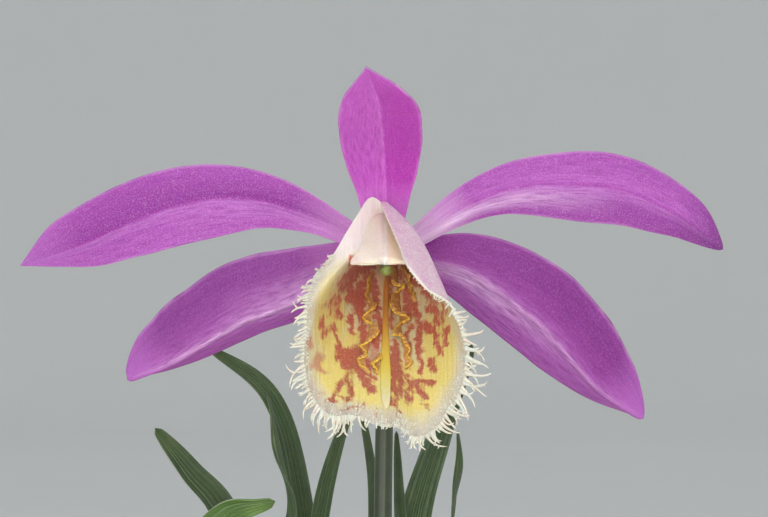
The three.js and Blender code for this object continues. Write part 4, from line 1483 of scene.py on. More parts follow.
CRESTS = (
    Crest(
        "lip_crest_left",
        ((-1.4, 1.0), (-2.0, 4.0), (-1.7, 7.0), (-1.8, 10.0), (-2.4, 13.0), (-2.2, 16.0)),
        ((-1.6, 1.2), (-2.3, 2.9), (-2.2, 3.8), (-2.5, 4.8), (-2.1, 5.5), (-1.1, 5.9), (-1.3, 6.6), (-2.4, 7.2),
         (-3.0, 8.0), (-2.4, 8.5), (-1.2, 9.0), (-0.7, 9.8), (-1.1, 10.5), (-2.2, 11.3), (-3.3, 11.9),
         (-2.6, 12.6), (-2.6, 13.4), (-3.5, 13.8), (-3.3, 14.5), (-1.8, 15.6)),
    ),
    Crest(
        "lip_crest_right",
        ((1.3, 0.6), (1.9, 4.0), (2.0, 7.0), (2.2, 10.0), (2.7, 12.5), (3.0, 15.3)),
        ((1.0, 0.6), (1.4, 1.4), (1.1, 2.7), (1.4, 3.3), (3.0, 3.5), (2.1, 4.1), (1.2, 4.8), (0.9, 6.3),
         (1.6, 7.3), (3.7, 7.9), (2.3, 8.7), (1.6, 9.4), (1.2, 10.3), (2.5, 10.6), (3.0, 11.6), (3.7, 12.3),
         (3.2, 13.2), (4.0, 14.1), (2.8, 15.1)),
    ),
    Crest(
        "lip_crest_outer",
        ((2.8, 0.6), (3.3, 2.0), (3.9, 3.5), (4.4, 5.6)),
        ((2.4, 0.6), (2.9, 1.5), (3.7, 1.9), (3.5, 2.9), (3.9, 3.6), (3.8, 4.2), (4.3, 4.8), (4.6, 5.5)),
        height=0.9,
    ),
    Crest(
        "lip_crest_small",
        ((-0.5, 12.6), (-0.6, 14.0), (-0.7, 15.8)),
        ((-0.6, 12.9), (-0.4, 13.5), (-1.0, 13.9), (-1.6, 14.4), (-1.2, 15.0), (-0.8, 15.7)),
        height=0.9, bead=0.2,
    ),
)


@dataclass
class Column:
    """The column: a slender stalk that widens into a roofed hood over the anther cap."""

    path: Sequence[Point] = (
        (0.4, -4.7, 196.5), (0.2, -11, 198.9), (-0.5, -18, 200.8), (-0.25, -25.5, 197.4), (0.1, -32.7, 194.15),
    )
    # Half widths from foot to hood edge: the left wing meets the lip's lobe, the right one goes under it
    left_wing: Sequence[float] = (1.2, 1.5, 2.4, 3.3, 4.2, 4.9)
    right_wing: Sequence[float] = (1.2, 1.2, 0.95, 1.6, 2.85, 4.1)
    roof: Sequence[float] = (1.2, 1.1, 0.9, 1.0, 1.1, 1.0)
    # Where along it the left wing's edge starts forward, is furthest forward and ends, and how far it comes
    sweep_at: Sequence[float] = (0.45, 0.8, 1.0)
    sweep: Sequence[float] = (0.0, 2.2, -1.3)
    # The anther cap's axis and half sizes
    cap: Sequence[Point] = ((0.3, -31.0, 193.9), (0.3, -31.7, 193.3), (0.28, -32.1, 192.6))
    cap_width: float = 0.85
    cap_depth: float = 0.8

    def surface(self, u: Array, v: Array) -> Array:
        """Points of the column; u goes round and v from foot to hood edge."""
        path = Path(self.path)
        across, top = path.axes(v, (1.0, 0.0, 0.0), (0.0, -0.5, 1.0))
        turn = 2 * np.pi * (u % 1.0)
        high = graded(self.roof, v)
        hood = smooth_step(0.45, 0.85, v)
        share = np.cos(turn)
        wide = np.where(share < 0.0, graded(self.left_wing, v), graded(self.right_wing, v))
        crown = 1.0 + 0.12 * hood * np.exp(-((share / 0.09) ** 2))
        ridge = (1.0 - np.abs(share) ** (2.0 - 0.9 * hood)) * crown
        below = -np.sqrt(np.maximum(0.0, 1.0 - share**2)) * (1.0 - 1.15 * hood)
        height = np.where(np.sin(turn) >= 0.0, high * ridge, high * 0.8 * below - 0.18 * hood)
        end = 1.0 - np.clip(np.minimum(v / 0.04, (1.0 - v) / 0.012), 0.0, 1.0)
        closing = np.sqrt(np.maximum(0.0, 1.0 - end * end))
        scallop = 0.18 * hood * np.cos(3 * np.pi * share) * smooth_step(0.9, 1.0, v)
        place = path.at(v) + path.tangent(v) * scallop[:, None]
        place[:, 1] -= np.interp(v, self.sweep_at, self.sweep) * np.minimum(share, 0.0) ** 2
        wide_offset = across * (wide * share * closing)[:, None]
        high_offset = top * (height * closing)[:, None]
        return place + wide_offset + high_offset

    def build(self) -> None:
        """Models the column and its anther cap."""
        obj = shaped_grid("column_hood", 72, 130, self.surface)
        face_outwards(obj)
        seen = VIEW.coordinates(points_of(obj))
        keep_values(obj, "front", np.column_stack([seen, np.zeros(len(seen))]))
        hand_over(obj, ColumnFinish(), ("column",))
        dome = stem_surface(
            Path(self.cap), lambda v: self.cap_width + 0 * v, lambda v: self.cap_depth + 0 * v, cap=0.5,
        )
        cap = shaped_grid("anther_cap_dome", 24, 18, dome)
        face_outwards(cap)
        hand_over(cap, Finishes.anther, ("anther_cap",))


@dataclass(frozen=True)
class ColumnFinish(Finish):
    """Column flesh: waxy, cream-white, lilac at its sides, with a painted highlight along its ridge and a peach
    tint in the fold beside it, painted for the shade under the lip's right lobe and made lighter to offset that
    shadow; pale specks are painted sparkle.
    """

    name: str = "column flesh, waxy"

    def paint(self, tree: Tree) -> dict:
        """Adds the nodes and returns the shader's inputs."""
        solid = node(tree, "TexCoord").outputs["Object"]
        front = node(tree, "Attribute", attribute_name="front").outputs["Vector"]
        spot = node(tree, "SeparateXYZ", {"Vector": front}).outputs
        cloud = node(tree, "TexNoise", {"Vector": solid, "Scale": 1 / (1.8 * MM), "Detail": 3.0})
        fine = node(tree, "TexNoise", {"Vector": solid, "Scale": 1 / (0.3 * MM), "Detail": 1.0})
        shifted = node(tree, "Math", {0: cloud, 1: 0.8, 2: spot["X"]}, operation="MULTIPLY_ADD")
        part = node(tree, "MapRange", {"Value": shifted, "From Min": -3.6, "From Max": 4.4})
        # Across the hood from left to right: lilac and cream, a painted highlight on the ridge, then peach
        # painted for the right lobe's shade, lightened to offset that shadow
        tones = node(
            tree, "ValToRGB", {"Fac": part},
            ramp=((0.0, "#EAD9D0"), (0.2, "#E9DAC4"), (0.4, "#E8D7C4"), (0.49, "#EBD9CD"), (0.53, "#FBF2EA"),
                  (0.57, "#F6E2CE"), (0.66, "#FADEC0"), (0.8, "#FEE8D2"), (1.0, "#F4DCD4")),
        )
        # Painted sparkle: fine specks of near-white highlight
        light = node(tree, "MapRange", {"Value": fine, "From Min": 0.52, "From Max": 0.75, "To Max": 0.35})
        colour = node(tree, "MixRGB", {"Fac": light, "Color1": tones, "Color2": "#FFFDF8"})
        bump = node(tree, "Bump", {"Height": fine, "Distance": 0.05 * MM, "Strength": 0.6})
        return {
            "Base Color": colour, "Roughness": 0.45, "Normal": bump,
            "Subsurface Weight": 0.3, "Subsurface Scale": 1.0 * MM,
        }


# Stem, ovary and bract


@dataclass
class FlowerStem:
    """The scape, the curved ribbed ovary behind the flower, and the bract that backs it."""

    scape: Sequence[Point] = (
        (0.2, 9.5, 62), (0.2, 9.5, 120), (-0.2, 9.8, 150), (0.2, 9.5, 178), (0.22, 9.4, 180),
    )
    ovary: Sequence[Point] = (
        (0.2, 9.4, 178.6), (0.25, 8.6, 186), (0.3, 5.2, 192.3), (0.38, -0.2, 196), (0.4, -4.8, 196.8),
    )
    bract: Sequence[Point] = (
        (0.2, 11.4, 177.6), (0.2, 12.8, 186), (0.25, 11.4, 194.5), (0.3, 7.8, 201.5), (0.4, 3.4, 206),
    )
    ovary_radius: Sequence[float] = (1.7, 1.95, 2.3, 2.6, 2.75)
    bract_width: Sequence[float] = (1.9, 3.6, 4.8, 4.6, 3.0, 0)
    ribs: int = 6

    def bract_surface(self, u: Array, v: Array) -> Array:
        """Points of the bract, rolled round the stem at its foot."""
        path = Path(self.bract)
        across, front = path.axes(v, (1.0, 0.0, 0.0), TOWARDS_VIEWER)
        half = graded(self.bract_width, v, 1.4)
        roll = 1.5 - 0.8 * v
        angle = (2 * u - 1) * roll
        radius = half / roll
        depth = radius * (1.0 - np.cos(angle)) + 0.05 * np.cos(9 * np.pi * (2 * u - 1))
        return path.at(v) + across * (radius * np.sin(angle))[:, None] + front * depth[:, None]

    def build(self) -> None:
        """Models the three pieces."""
        scape = Path(self.scape)
        wide = lambda v: 1.65 - 0.3 * v + 0.3 * smooth_step(0.95, 1.0, v)
        obj = shaped_grid("scape_stem", 28, 160, stem_surface(scape, wide, wide, cap=0.01))
        face_outwards(obj)
        hand_over(obj, Finishes.scape, ("scape",))

        ovary = Path(self.ovary)
        swell = lambda v: graded(self.ovary_radius, v)
        plain = stem_surface(ovary, swell, swell, cap=0.03)

        def ribbed(u: Array, v: Array) -> Array:
            axis = ovary.at(v)
            depth = 1.0 + 0.07 * np.cos(2 * np.pi * self.ribs * u) * np.sin(np.pi * v) ** 0.5
            return axis + (plain(u, v) - axis) * depth[:, None]

        obj = shaped_grid("ovary_ribbed", 60, 70, ribbed)
        face_outwards(obj)
        hand_over(obj, Finishes.ovary, ("ovary",))

        obj = shaped_grid("floral_bract_blade", 40, 80, self.bract_surface)
        face_towards(obj, TOWARDS_VIEWER)
        thicken(obj, 0.25, Finishes.bract)
        hand_over(obj, replaces=("floral_bract",))


# Leaves and sheaths


@dataclass
class Sheath:
    """A papery sleeve round a shoot, cut off aslant at its mouth."""

    name: str
    x: float
    y: float
    foot: float
    top: float
    radius: float
    slant: float = 5.0
    heading: float = 0.0
    finish: Finish = Finishes.sheath

    def surface(self, u: Array, v: Array) -> Array:
        """Points of the sleeve; u goes round and v goes up."""
        turn = 2 * np.pi * (u % 1.0)
        high = self.top - self.slant * (0.5 - 0.5 * np.cos(turn - self.heading)) ** 0.8
        z = self.foot + (high - self.foot) * v
        radius = self.radius * (1.0 - 0.1 * v + 0.06 * np.sin(np.pi * v)) + 0.05 * np.cos(12 * turn)
        radius += 0.35 * smooth_step(0.93, 1.0, v) * (0.5 - 0.5 * np.cos(turn - self.heading))
        return np.stack([self.x + radius * np.cos(turn), self.y + radius * np.sin(turn), z], axis=-1)

    def build(self, node_name: str) -> None:
        """Models the sleeve in place of a node.

        Args:
            node_name: the node that it stands for.
        """
        obj = shaped_grid(self.name, 48, 40, self.surface)
        face_outwards(obj)
        thicken(obj, 0.3, self.finish)
        hand_over(obj, replaces=(node_name,))


@dataclass
class Leaf:
    """A young pleated leaf: a rolled stalk that opens into a folded blade."""

    number: int
    midline: Sequence[Point]
    width: float
    finish: Finish = Finishes.leaf
    stalk: float = 2.3
    opening: float = 0.35
    twist: float = 0.0
    crinkle: float = 0.1
    waves: float = 14.0
    pleats: int = 6
    shoulder: float = 0.7

    def surface(self, u: Array, v: Array) -> Array:
        """Points of the leaf; u goes across and v from foot to tip."""
        path = Path(self.midline)
        across, front = path.axes(v, (1.0, 0.15, 0.0), (0.0, -1.0, 0.3))
        turn = (self.twist * smooth_step(0.5, 1.0, v))[:, None]
        cosine, sine = np.cos(turn), np.sin(turn)
        across, front = across * cosine + front * sine, front * cosine - across * sine
        place = 2 * u - 1
        opened = smooth_step(self.opening, self.opening + 0.35, v)
        past = np.maximum(0.0, v - self.shoulder) / (1 - self.shoulder)
        taper = np.sqrt(np.maximum(0.0, 1.0 - past**1.6))
        half = (self.stalk + (1.08 * self.width - self.stalk) * opened) * taper
        roll = 2.3 - 1.65 * opened
        radius = half / roll
        side = radius * np.sin(roll * place)
        depth = radius * (1.0 - np.cos(roll * place))
        fold = np.abs((place * self.pleats / 2 + 0.5) % 1.0 - 0.5) * 2.0 - 0.5
        depth = depth + 0.1 * half * fold * opened * taper
        depth = depth + self.crinkle * half * np.abs(place) ** 3 * opened * np.sin(self.waves * v + self.number)
        sway = np.sin(0.7 * self.waves * v + 2 * self.number)
        side = side + 0.4 * self.crinkle * half * place * opened * sway
        return path.at(v) + across * side[:, None] + front * depth[:, None]

    def build(self) -> None:
        """Models the leaf in place of its node."""
        obj = shaped_grid(f"leaf_{self.number}_blade", 48, 130, self.surface)
        face_towards(obj, TOWARDS_VIEWER)
        thicken(obj, 0.32, self.finish)
        hand_over(obj, replaces=(f"leaf_{self.number}",))


@dataclass
class Shoots:
    """The leafy shoots and the flowering shoot, each in its sheaths."""

    foot: float = 61.0
    crown: float = 67.2
    sheath_radius: float = 2.75
    # Each leafy shoot: its place, its sheath's height, and its leaf's width, twist and midline above that
    leafy: Sequence[tuple] = (
        ((-29.5, 14), 34, 2.6, 0.0,
         ((-28.4, 17, 112), (-25.9, 30, 152.9), (-31.6, 30, 160.5), (-37.3, 30, 167.4))),
        ((-31, -8), 30, 3.4, 0.3, ((-31.5, -4, 112), (-30.5, 7, 144), (-24.8, 10, 154.6), (-17, 10, 157))),
        ((-12.5, 35), 36, 2.0, 0.0,
         ((-12.6, 38, 112), (-13.6, 45, 151.6), (-19.2, 45, 172.1), (-30, 45, 180.5))),
        ((-12, 20.5), 28, 1.5, 0.2, ((-11.8, 23, 112), (-10.4, 30, 152.9), (-6.2, 30, 168.7), (-4.2, 31, 173))),
        ((0.5, 24), 26, 1.1, -0.4, ((0.2, 26, 112), (-1.4, 31, 146), (-2.0, 34, 160), (-4.2, 34, 173))),
        ((13, 23), 32, 2.6, 0.2, ((11.0, 24, 112), (4.4, 25, 148), (9.2, 25, 167.3), (14.2, 25, 181.2))),
        ((21, 35), 30, 1.7, 2.2, ((18.4, 38, 112), (11.4, 45, 151.6), (12.9, 45, 160.3), (12.2, 45, 166))),
        ((-19, 18), 24, 1.9, 1.9, ((-18.4, 19, 112), (-14.6, 25, 151), (-16.7, 25, 163), (-19, 25, 173.5))),
    )

    def build(self) -> None:
        """Models every sheath and leaf."""
        for number, ((x, y), height, width, twist, above) in enumerate(self.leafy, start=1):
            top = self.crown + height
            sleeve = Sheath(
                f"leaf_sheath_{number}_sleeve", x, y, self.foot, top, self.sheath_radius, heading=1.3 * number,
                finish=Finishes.sheath_dry if number % 3 == 0 else Finishes.sheath,
            )
            sleeve.build(f"leaf_sheath_{number}")
            midline = ((x, y, self.crown + 1), (x, y, top), *above)
            finish = Finishes.leaf_bright if number == 2 else Finishes.leaf
            crinkle = 0.45 if abs(twist) > 1.0 else 0.1
            Leaf(number, midline, width, finish, twist=twist, crinkle=crinkle, waves=14 + 60 * crinkle).build()
        scape_leaf = ((3.15, 9.5, 101), (3.15, 9.5, 129), (3.4, 13.5, 142), (2.6, 20, 153.7), (2.0, 20, 167.5))
        Leaf(len(self.leafy) + 1, scape_leaf, 0.85, Finishes.leaf, stalk=1.3, opening=0.55).build()
        x, y = 1.5, 9.5
        for part, radius, above, heading, finish in (
            ("outer", 5.0, 18.0, 0.5, Finishes.sheath_dry),
            ("middle", 4.25, 36.0, 2.8, Finishes.sheath_dry),
            ("inner", 3.5, 60.0, 5.0, Finishes.sheath),
        ):
            sleeve = Sheath(f"flower_sheath_{part}_sleeve", x, y, self.foot, self.crown + above, radius,
                            slant=7.0, heading=heading, finish=finish)
            sleeve.build(f"flower_sheath_{part}")


# Pseudobulbs


@dataclass
class Pseudobulb:
    """A pseudobulb: a squat flask-shaped stem with shallow ribs, a ringed neck and a torn dry tunic."""

    number: int
    x: float
    y: float
    radius: float
    bottom: float = 57.0
    height: float = 27.0
    outline: ClassVar[tuple[tuple[float, float], ...]] = (
        (0.0, 0.0), (0.5, 0.03), (0.86, 0.16), (1.0, 0.36), (0.9, 0.55), (0.62, 0.72), (0.36, 0.83),
        (0.2, 0.92), (0.14, 0.985), (0.1, 1.0), (0.0, 1.0),
    )

    def surface(self, u: Array, v: Array) -> Array:
        """Points of the skin; u goes round and v goes up."""
        shape = Path([(out, 0.0, up) for out, up in self.outline]).at(v)
        turn = 2 * np.pi * (u % 1.0)
        ribs = 1.0 + 0.018 * np.cos(9 * turn + self.number) + 0.012 * np.cos(4 * turn + 2 * self.number)
        upper, lower = (np.exp(-(((shape[:, 2] - ring) / 0.012) ** 2)) for ring in (0.86, 0.8))
        rings = 0.35 * upper + 0.3 * lower
        radius = self.radius * shape[:, 0] * ribs + rings * np.minimum(1.0, shape[:, 0] * 8)
        lean = 1.2 * shape[:, 2] ** 2
        x = self.x + radius * np.cos(turn) + lean * math.cos(2.4 * self.number)
        y = self.y + radius * np.sin(turn) + lean * math.sin(2.4 * self.number)
        return np.stack([x, y, self.bottom + self.height * shape[:, 2]], axis=-1)

    def tunic_surface(self, u: Array, v: Array) -> Array:
        """Points of the torn dry sleeve round the bulb's lower half."""
        turn = 2 * np.pi * (u % 1.0)
        ragged = 0.16 * np.sin(3 * turn + self.number) + 0.07 * np.sin(11 * turn)
        ragged += 0.05 * np.sin(23 * turn + 1.0)
        top = 0.55 + ragged
        level = 0.2 + (top - 0.2) * v
        shape = np.interp(level, [up for _, up in self.outline], [out for out, _ in self.outline])
        loose = 0.35 + 0.5 * v**3 * (1.0 + np.sin(5 * turn))
        radius = self.radius * shape + loose + 0.08 * np.cos(30 * turn)
        x = self.x + radius * np.cos(turn)
        y = self.y + radius * np.sin(turn)
        return np.stack([x, y, self.bottom + self.height * level], axis=-1)

    def build(self) -> None:
        """Models the bulb and its tunic."""
        obj = shaped_grid(f"pseudobulb_{self.number}_flask", 72, 64, self.surface)
        face_outwards(obj)
        hand_over(obj, Finishes.bulb, (f"pseudobulb_{self.number}",))
        sleeve = shaped_grid(f"pseudobulb_{self.number}_tunic", 90, 10, self.tunic_surface)
        face_outwards(sleeve)
        thicken(sleeve, 0.15, Finishes.tunic)
        hand_over(sleeve)


BULBS = (
    Pseudobulb(1, -15.5, 1.5, 12.3),
    Pseudobulb(2, -27.0, 31.0, 10.8),
    Pseudobulb(3, 6.0, 38.0, 10.3),
    Pseudobulb(4, 27.0, 16.0, 11.3),
    Pseudobulb(5, 14.0, -14.0, 11.8),
)


# Pot and filling


@dataclass
class Pot:
    """A plain clay pot with a stepped rim and one drain hole, turned ring by ring."""

    segments: int = 96
    # Edges that turn more than this many degrees stay sharp
    sharp_angle: float = 38.0
    # The wall's outline as radius and height, from the drain hole's lower edge out, up, in and back down
    outline: Sequence[tuple[float, float]] = (
        (7.0, 0.6), (7.6, 0.0), (24.0, 0.2), (42.0, 0.0), (43.3, 0.4), (44.1, 1.6), (50.0, 26.0), (55.8, 50.5),
        (58.0, 60.0), (58.5, 61.6), (59.4, 62.0), (61.8, 62.1), (62.5, 62.8), (63.4, 68.0), (64.7, 74.6),
        (64.9, 76.4), (64.3, 77.5), (63.0, 78.0), (59.3, 77.9), (58.0, 77.2), (57.2, 75.8), (53.2, 60.0),
        (45.6, 30.0), (40.2, 8.0), (38.6, 6.3), (36.0, 6.0), (7.7, 6.0), (7.0, 5.4), (7.0, 0.6),
    )

    def build(self) -> None:
        """Models the pot in place of its node."""
        bpy.ops.object.select_all(action="DESELECT")
        first_radius, first_height = self.outline[0]
        bpy.ops.mesh.primitive_circle_add(
            vertices=self.segments, radius=first_radius * MM, location=(0, 0, first_height * MM)
        )
        obj = bpy.context.object
        obj.name = obj.data.name = "pot_wall"
        bpy.ops.object.mode_set(mode="EDIT")
        bpy.ops.mesh.select_all(action="SELECT")
        for (radius, height), (wider, higher) in zip(self.outline, self.outline[1:]):
            bpy.ops.mesh.extrude_region_move(TRANSFORM_OT_translate={"value": (0, 0, (higher - height) * MM)})
            grow = wider / radius
            bpy.ops.transform.resize(value=(grow, grow, 1.0), center_override=(0, 0, higher * MM))
        bpy.ops.object.mode_set(mode="OBJECT")
        select_only(obj)
        bpy.ops.object.transform_apply(location=True, rotation=True, scale=True)
        weld(obj)
        face_outwards(obj)
        select_only(obj)
        bpy.ops.object.shade_smooth_by_angle(angle=math.radians(self.sharp_angle))
        hand_over(obj, ClayFinish(), ("pot",))


@dataclass(frozen=True)
class ClayFinish(Finish):
    """Unglazed earthenware: matt orange-brown with throwing lines, grit and a pale lime bloom low down."""

    name: str = "terracotta, thrown"

    def paint(self, tree: Tree) -> dict:
        """Adds the nodes and returns the shader's inputs."""
        solid = node(tree, "TexCoord").outputs["Object"]
        place = node(tree, "SeparateXYZ", {"Vector": solid}).outputs
        cloud = node(
            tree, "TexNoise", {"Vector": solid, "Scale": 1 / (24 * MM), "Detail": 5.0, "Roughness": 0.6},
        )
        flat = node(tree, "Mapping", {"Vector": solid, "Scale": (0.12, 0.12, 1.0)})
        lines = node(tree, "TexNoise", {"Vector": flat, "Scale": 1 / (2.2 * MM), "Detail": 3.0})
        grit = node(tree, "TexNoise", {"Vector": solid, "Scale": 1 / (0.6 * MM), "Detail": 3.0})
        height = node(
            tree, "MapRange",
            {"Value": place["Z"], "From Min": 0.0, "From Max": 46 * MM, "To Min": 0.62, "To Max": 0.34},
        )
        bloom = node(tree, "Math", {0: cloud, 1: height}, operation="MULTIPLY")
        tones = ((0.32, "#A2583A"), (0.5, "#B96B45"), (0.68, "#C98763"))
        colour = node(tree, "ValToRGB", {"Fac": cloud}, ramp=tones)
        # Each layer: its pattern, the pattern's range, the layer's greatest share and its colour
        for pattern, low, high, most, over in (
            (lines, 0.42, 0.7, 0.35, "#96502F"),
            (bloom, 0.24, 0.38, 0.6, "#D8C0AC"),
            (grit, 0.62, 0.7, 0.5, "#DDB493"),
        ):
            share = node(
                tree, "MapRange", {"Value": pattern, "From Min": low, "From Max": high, "To Max": most},
            )
            colour = node(tree, "MixRGB", {"Fac": share, "Color1": colour, "Color2": over})
        coarse = node(tree, "Bump", {"Height": grit, "Distance": 0.12 * MM, "Strength": 0.8})
        bump = node(tree, "Bump", {"Height": lines, "Distance": 0.25 * MM, "Strength": 0.7, "Normal": coarse})
        return {"Base Color": colour, "Roughness": 0.88, "Normal": bump}


@dataclass
class Filling:
    """The compost with its loose chips and grit, the larger chips and the moss."""

    edge_radius: float = 53.4
    edge_height: float = 64.0
    crown: float = 67.2
    foot: float = 6.3
    foot_radius: float = 39.2
    # Larger chips: x, y and turn in degrees
    chips: Sequence[tuple[float, float, float]] = (
        (-42, -6, 70), (30, -33, -35), (43, 8, 95), (-3, -28, 10), (-43, 18, 120), (-10, 48, -10),
    )
    chip_size: Point = (12.6, 8.6, 3.8)
    chip_height: float = 66.4
    # Moss cushions: x, y, radius and height, and the height of their feet
    cushions: Sequence[tuple[float, float, float, float]] = ((-25, -28, 10, 7.5), (38, -13, 8.5, 7))
    moss_foot: float = 63.0
    loose_chips: int = 420
    grit_count: int = 90

    def bed_height(self, away: Array) -> Array:
        """The compost's height at a distance from the pot's axis."""
        return self.crown - (self.crown - self.edge_height) * (np.asarray(away) / self.edge_radius) ** 2

    def bed(self, u: Array, v: Array) -> Array:
        """Points of the compost: u goes round, v from under its middle out, up the side and over the top."""
        turn = 2 * np.pi * (u % 1.0)
        radius = np.interp(v, (0.0, 0.12, 0.24, 1.0), (0.0, self.foot_radius, self.edge_radius, 0.0))
        z = np.interp(v, (0.0, 0.12, 0.24, 1.0), (self.foot, self.foot, self.edge_height, self.edge_height))
        top = v >= 0.24
        z = np.where(top, self.bed_height(radius), z)
        points = np.stack([radius * np.cos(turn), radius * np.sin(turn), z], axis=-1)
        rough = 1.0 * ripple(points, 7.0, 3.0) + 0.7 * ripple(points, 2.4, 5.0)
        points[:, 2] += np.where(top & (radius < 0.985 * self.edge_radius), rough, 0.0)
        return points

    @staticmethod
    def chip_shape(name: str, seed: int, size: Point) -> Piece:
        """Models one chip from a block: cut, roughened and rounded.

        Args:
            name: its name.
            seed: which chip of many it is.
            size: its length, width and height in mm.

        Returns:
            The chip, at the origin.
        """
        draw = random.Random(seed)
        bpy.ops.object.select_all(action="DESELECT")
        bpy.ops.mesh.primitive_cube_add(size=1.0)
        obj = bpy.context.object
        obj.name = obj.data.name = name
        cuts = [
            (Vector((draw.uniform(-1, 1), draw.uniform(-1, 1), draw.uniform(-0.6, 0.6))).normalized(),
             draw.uniform(0.36, 0.5))
            for _ in range(4)
        ]
        bpy.ops.object.mode_set(mode="EDIT")
        for normal, away in cuts:
            bpy.ops.mesh.select_all(action="SELECT")
            bpy.ops.mesh.bisect(plane_co=normal * away, plane_no=normal, use_fill=True, clear_outer=True)
        bpy.ops.mesh.select_all(action="SELECT")
        bpy.ops.mesh.bevel(offset=0.05, segments=1, affect="EDGES")
        bpy.ops.transform.vertex_random(offset=0.035, seed=seed)
        bpy.ops.transform.resize(value=tuple(s * MM for s in size), center_override=(0, 0, 0))
        bpy.ops.object.mode_set(mode="OBJECT")
        weld(obj)
        face_outwards(obj)
        return obj

    def scatter(
        self, name: str, shapes: Sequence[Piece], count: int, seed: int, sizes: tuple[float, float],
    ) -> Piece:
        """Strews copies of shapes over the compost, clear of the bulbs and the middle of the moss.

        Args:
            name: the strewn piece's name.
            shapes: what to copy.
            count: how many.
            seed: of the draws.
            sizes: the least and greatest scale.

        Returns:
            The copies as one piece.
        """
        draw = random.Random(seed)
        bulbs = [(b.x, b.y, b.radius * 0.92) for b in BULBS]
        moss = [(x, y, radius * 0.9) for x, y, radius, _ in self.cushions]
        pieces = []
        while len(pieces) < count:
            away = self.edge_radius * 0.955 * math.sqrt(draw.random())
            heading = draw.uniform(0, 2 * math.pi)
            x, y = away * math.cos(heading), away * math.sin(heading)
            if any(math.hypot(x - bx, y - by) < r for bx, by, r in (*bulbs, *moss)):
                continue
            z = float(self.bed_height(away)) + draw.uniform(-0.2, 1.1)
            tilt = Matrix.Rotation(draw.gauss(0, 0.35), 4, "X") @ Matrix.Rotation(draw.gauss(0, 0.35), 4, "Y")
            spin = Matrix.Rotation(draw.uniform(0, 2 * math.pi), 4, "Z")
            size = Matrix.Scale(draw.uniform(*sizes), 4)
            place = Matrix.Translation(Vector((x, y, z)) * MM) @ tilt @ spin @ size
            pieces.append(placed_copy(draw.choice(shapes), place))
        return joined(name, pieces)

    def build_bed(self) -> None:
        """Models the compost and what lies loose on it."""
        obj = shaped_grid("compost_bed", 120, 90, self.bed)
        face_outwards(obj)
        hand_over(obj, Finishes.compost, ("compost",))
        for name, seed, count, finish in (
            ("loose_bark_dark", 11, self.loose_chips, Finishes.bark),
            ("loose_bark_pale", 23, self.loose_chips // 3, Finishes.bark_pale),
        ):
            shapes = [
                self.chip_shape(f"{name}_shape_{i}", seed + i, size)
                for i, size in enumerate(((5.6, 3.4, 1.5), (4.2, 3.0, 1.8), (3.4, 2.6, 1.4), (6.5, 2.6, 1.2)))
            ]
            strewn = self.scatter(name, shapes, count, seed, (0.6, 1.25))
            for shape in shapes:
                bpy.data.objects.remove(shape)
            hand_over(strewn, finish)
        shapes = [self.chip_shape(f"grit_shape_{i}", 31 + i, (2.2, 1.9, 1.7)) for i in range(3)]
        strewn = self.scatter("perlite_grit", shapes, self.grit_count, 7, (0.5, 1.1))
        for shape in shapes:
            bpy.data.objects.remove(shape)
        hand_over(strewn, Finishes.grit)

    def build_chips(self) -> None:
        """Models the larger chips in place of their nodes."""
        for number, (x, y, turn) in enumerate(self.chips, start=1):
            obj = self.chip_shape(f"bark_chip_{number}_block", 60 + number, self.chip_size)
            spin = Matrix.Rotation(math.radians(turn), 4, "Z")
            obj.data.transform(Matrix.Translation(Vector((x, y, self.chip_height)) * MM) @ spin)
            hand_over(obj, Finishes.bark, (f"bark_chip_{number}",))

    def build_moss(self) -> None:
        """Models each moss cushion: a lumpy dome covered in small leafy sprigs."""
        for number, (x, y, radius, height) in enumerate(self.cushions, start=1):

            def dome(u: Array, v: Array) -> Array:
                turn = 2 * np.pi * (u % 1.0)
                tilt = 0.5 * np.pi * v
                out = 0.93 * radius * np.cos(tilt)
                z = self.moss_foot + 0.86 * height * np.sin(tilt) ** 0.8
                points = np.stack([x + out * np.cos(turn), y + out * np.sin(turn), z], axis=-1)
                points[:, 2] += 0.5 * np.sin(tilt) * ripple(points, 3.0, number)
                return points

            obj = shaped_grid(f"moss_cushion_{number}_dome", 64, 26, dome)
            face_outwards(obj)
            sprig = self.sprig_shape()
            draw = random.Random(90 + number)
            sprigs = [obj]
            for _ in range(int(5.2 * radius * radius)):
                heading, tilt = draw.uniform(0, 2 * math.pi), math.acos(draw.uniform(0.08, 1.0))
                out = 0.93 * radius * math.sin(tilt)
                z = self.moss_foot + 0.86 * height * math.cos(tilt) ** 0.8
                lean = Matrix.Rotation(0.8 * tilt, 4, Vector((-math.sin(heading), math.cos(heading), 0)))
                lean = lean @ Matrix.Rotation(draw.uniform(0, 6.28), 4, "Z")
                size = Matrix.Scale(draw.uniform(0.7, 1.25), 4)
                spot = Vector((x + out * math.cos(heading), y + out * math.sin(heading), z)) * MM
                sprigs.append(placed_copy(sprig, Matrix.Translation(spot) @ lean @ size))
            bpy.data.objects.remove(sprig)
            moss = joined(f"moss_cushion_{number}_tuft", sprigs)
            hand_over(moss, Finishes.moss, (f"moss_cushion_{number}",))

    @staticmethod
    def sprig_shape() -> Piece:
        """Models one moss sprig: a star of pointed leaflets."""
        leaflets = []
        for i in range(6):
            bpy.ops.object.select_all(action="DESELECT")
            bpy.ops.mesh.primitive_cone_add(vertices=3, radius1=0.24 * MM, radius2=0.02 * MM, depth=1.3 * MM)
            cone = bpy.context.object
            lean = Matrix.Rotation(0.75 if i else 0.0, 4, "X")
            turn = Matrix.Rotation(i * 2 * math.pi / 5, 4, "Z")
            cone.data.transform(turn @ lean @ Matrix.Translation((0, 0, 0.5 * MM)))
            leaflets.append(cone)
        return joined("sprig", leaflets)

    def build(self) -> None:
        """Models the filling."""
        self.build_bed()
        self.build_chips()
        self.build_moss()


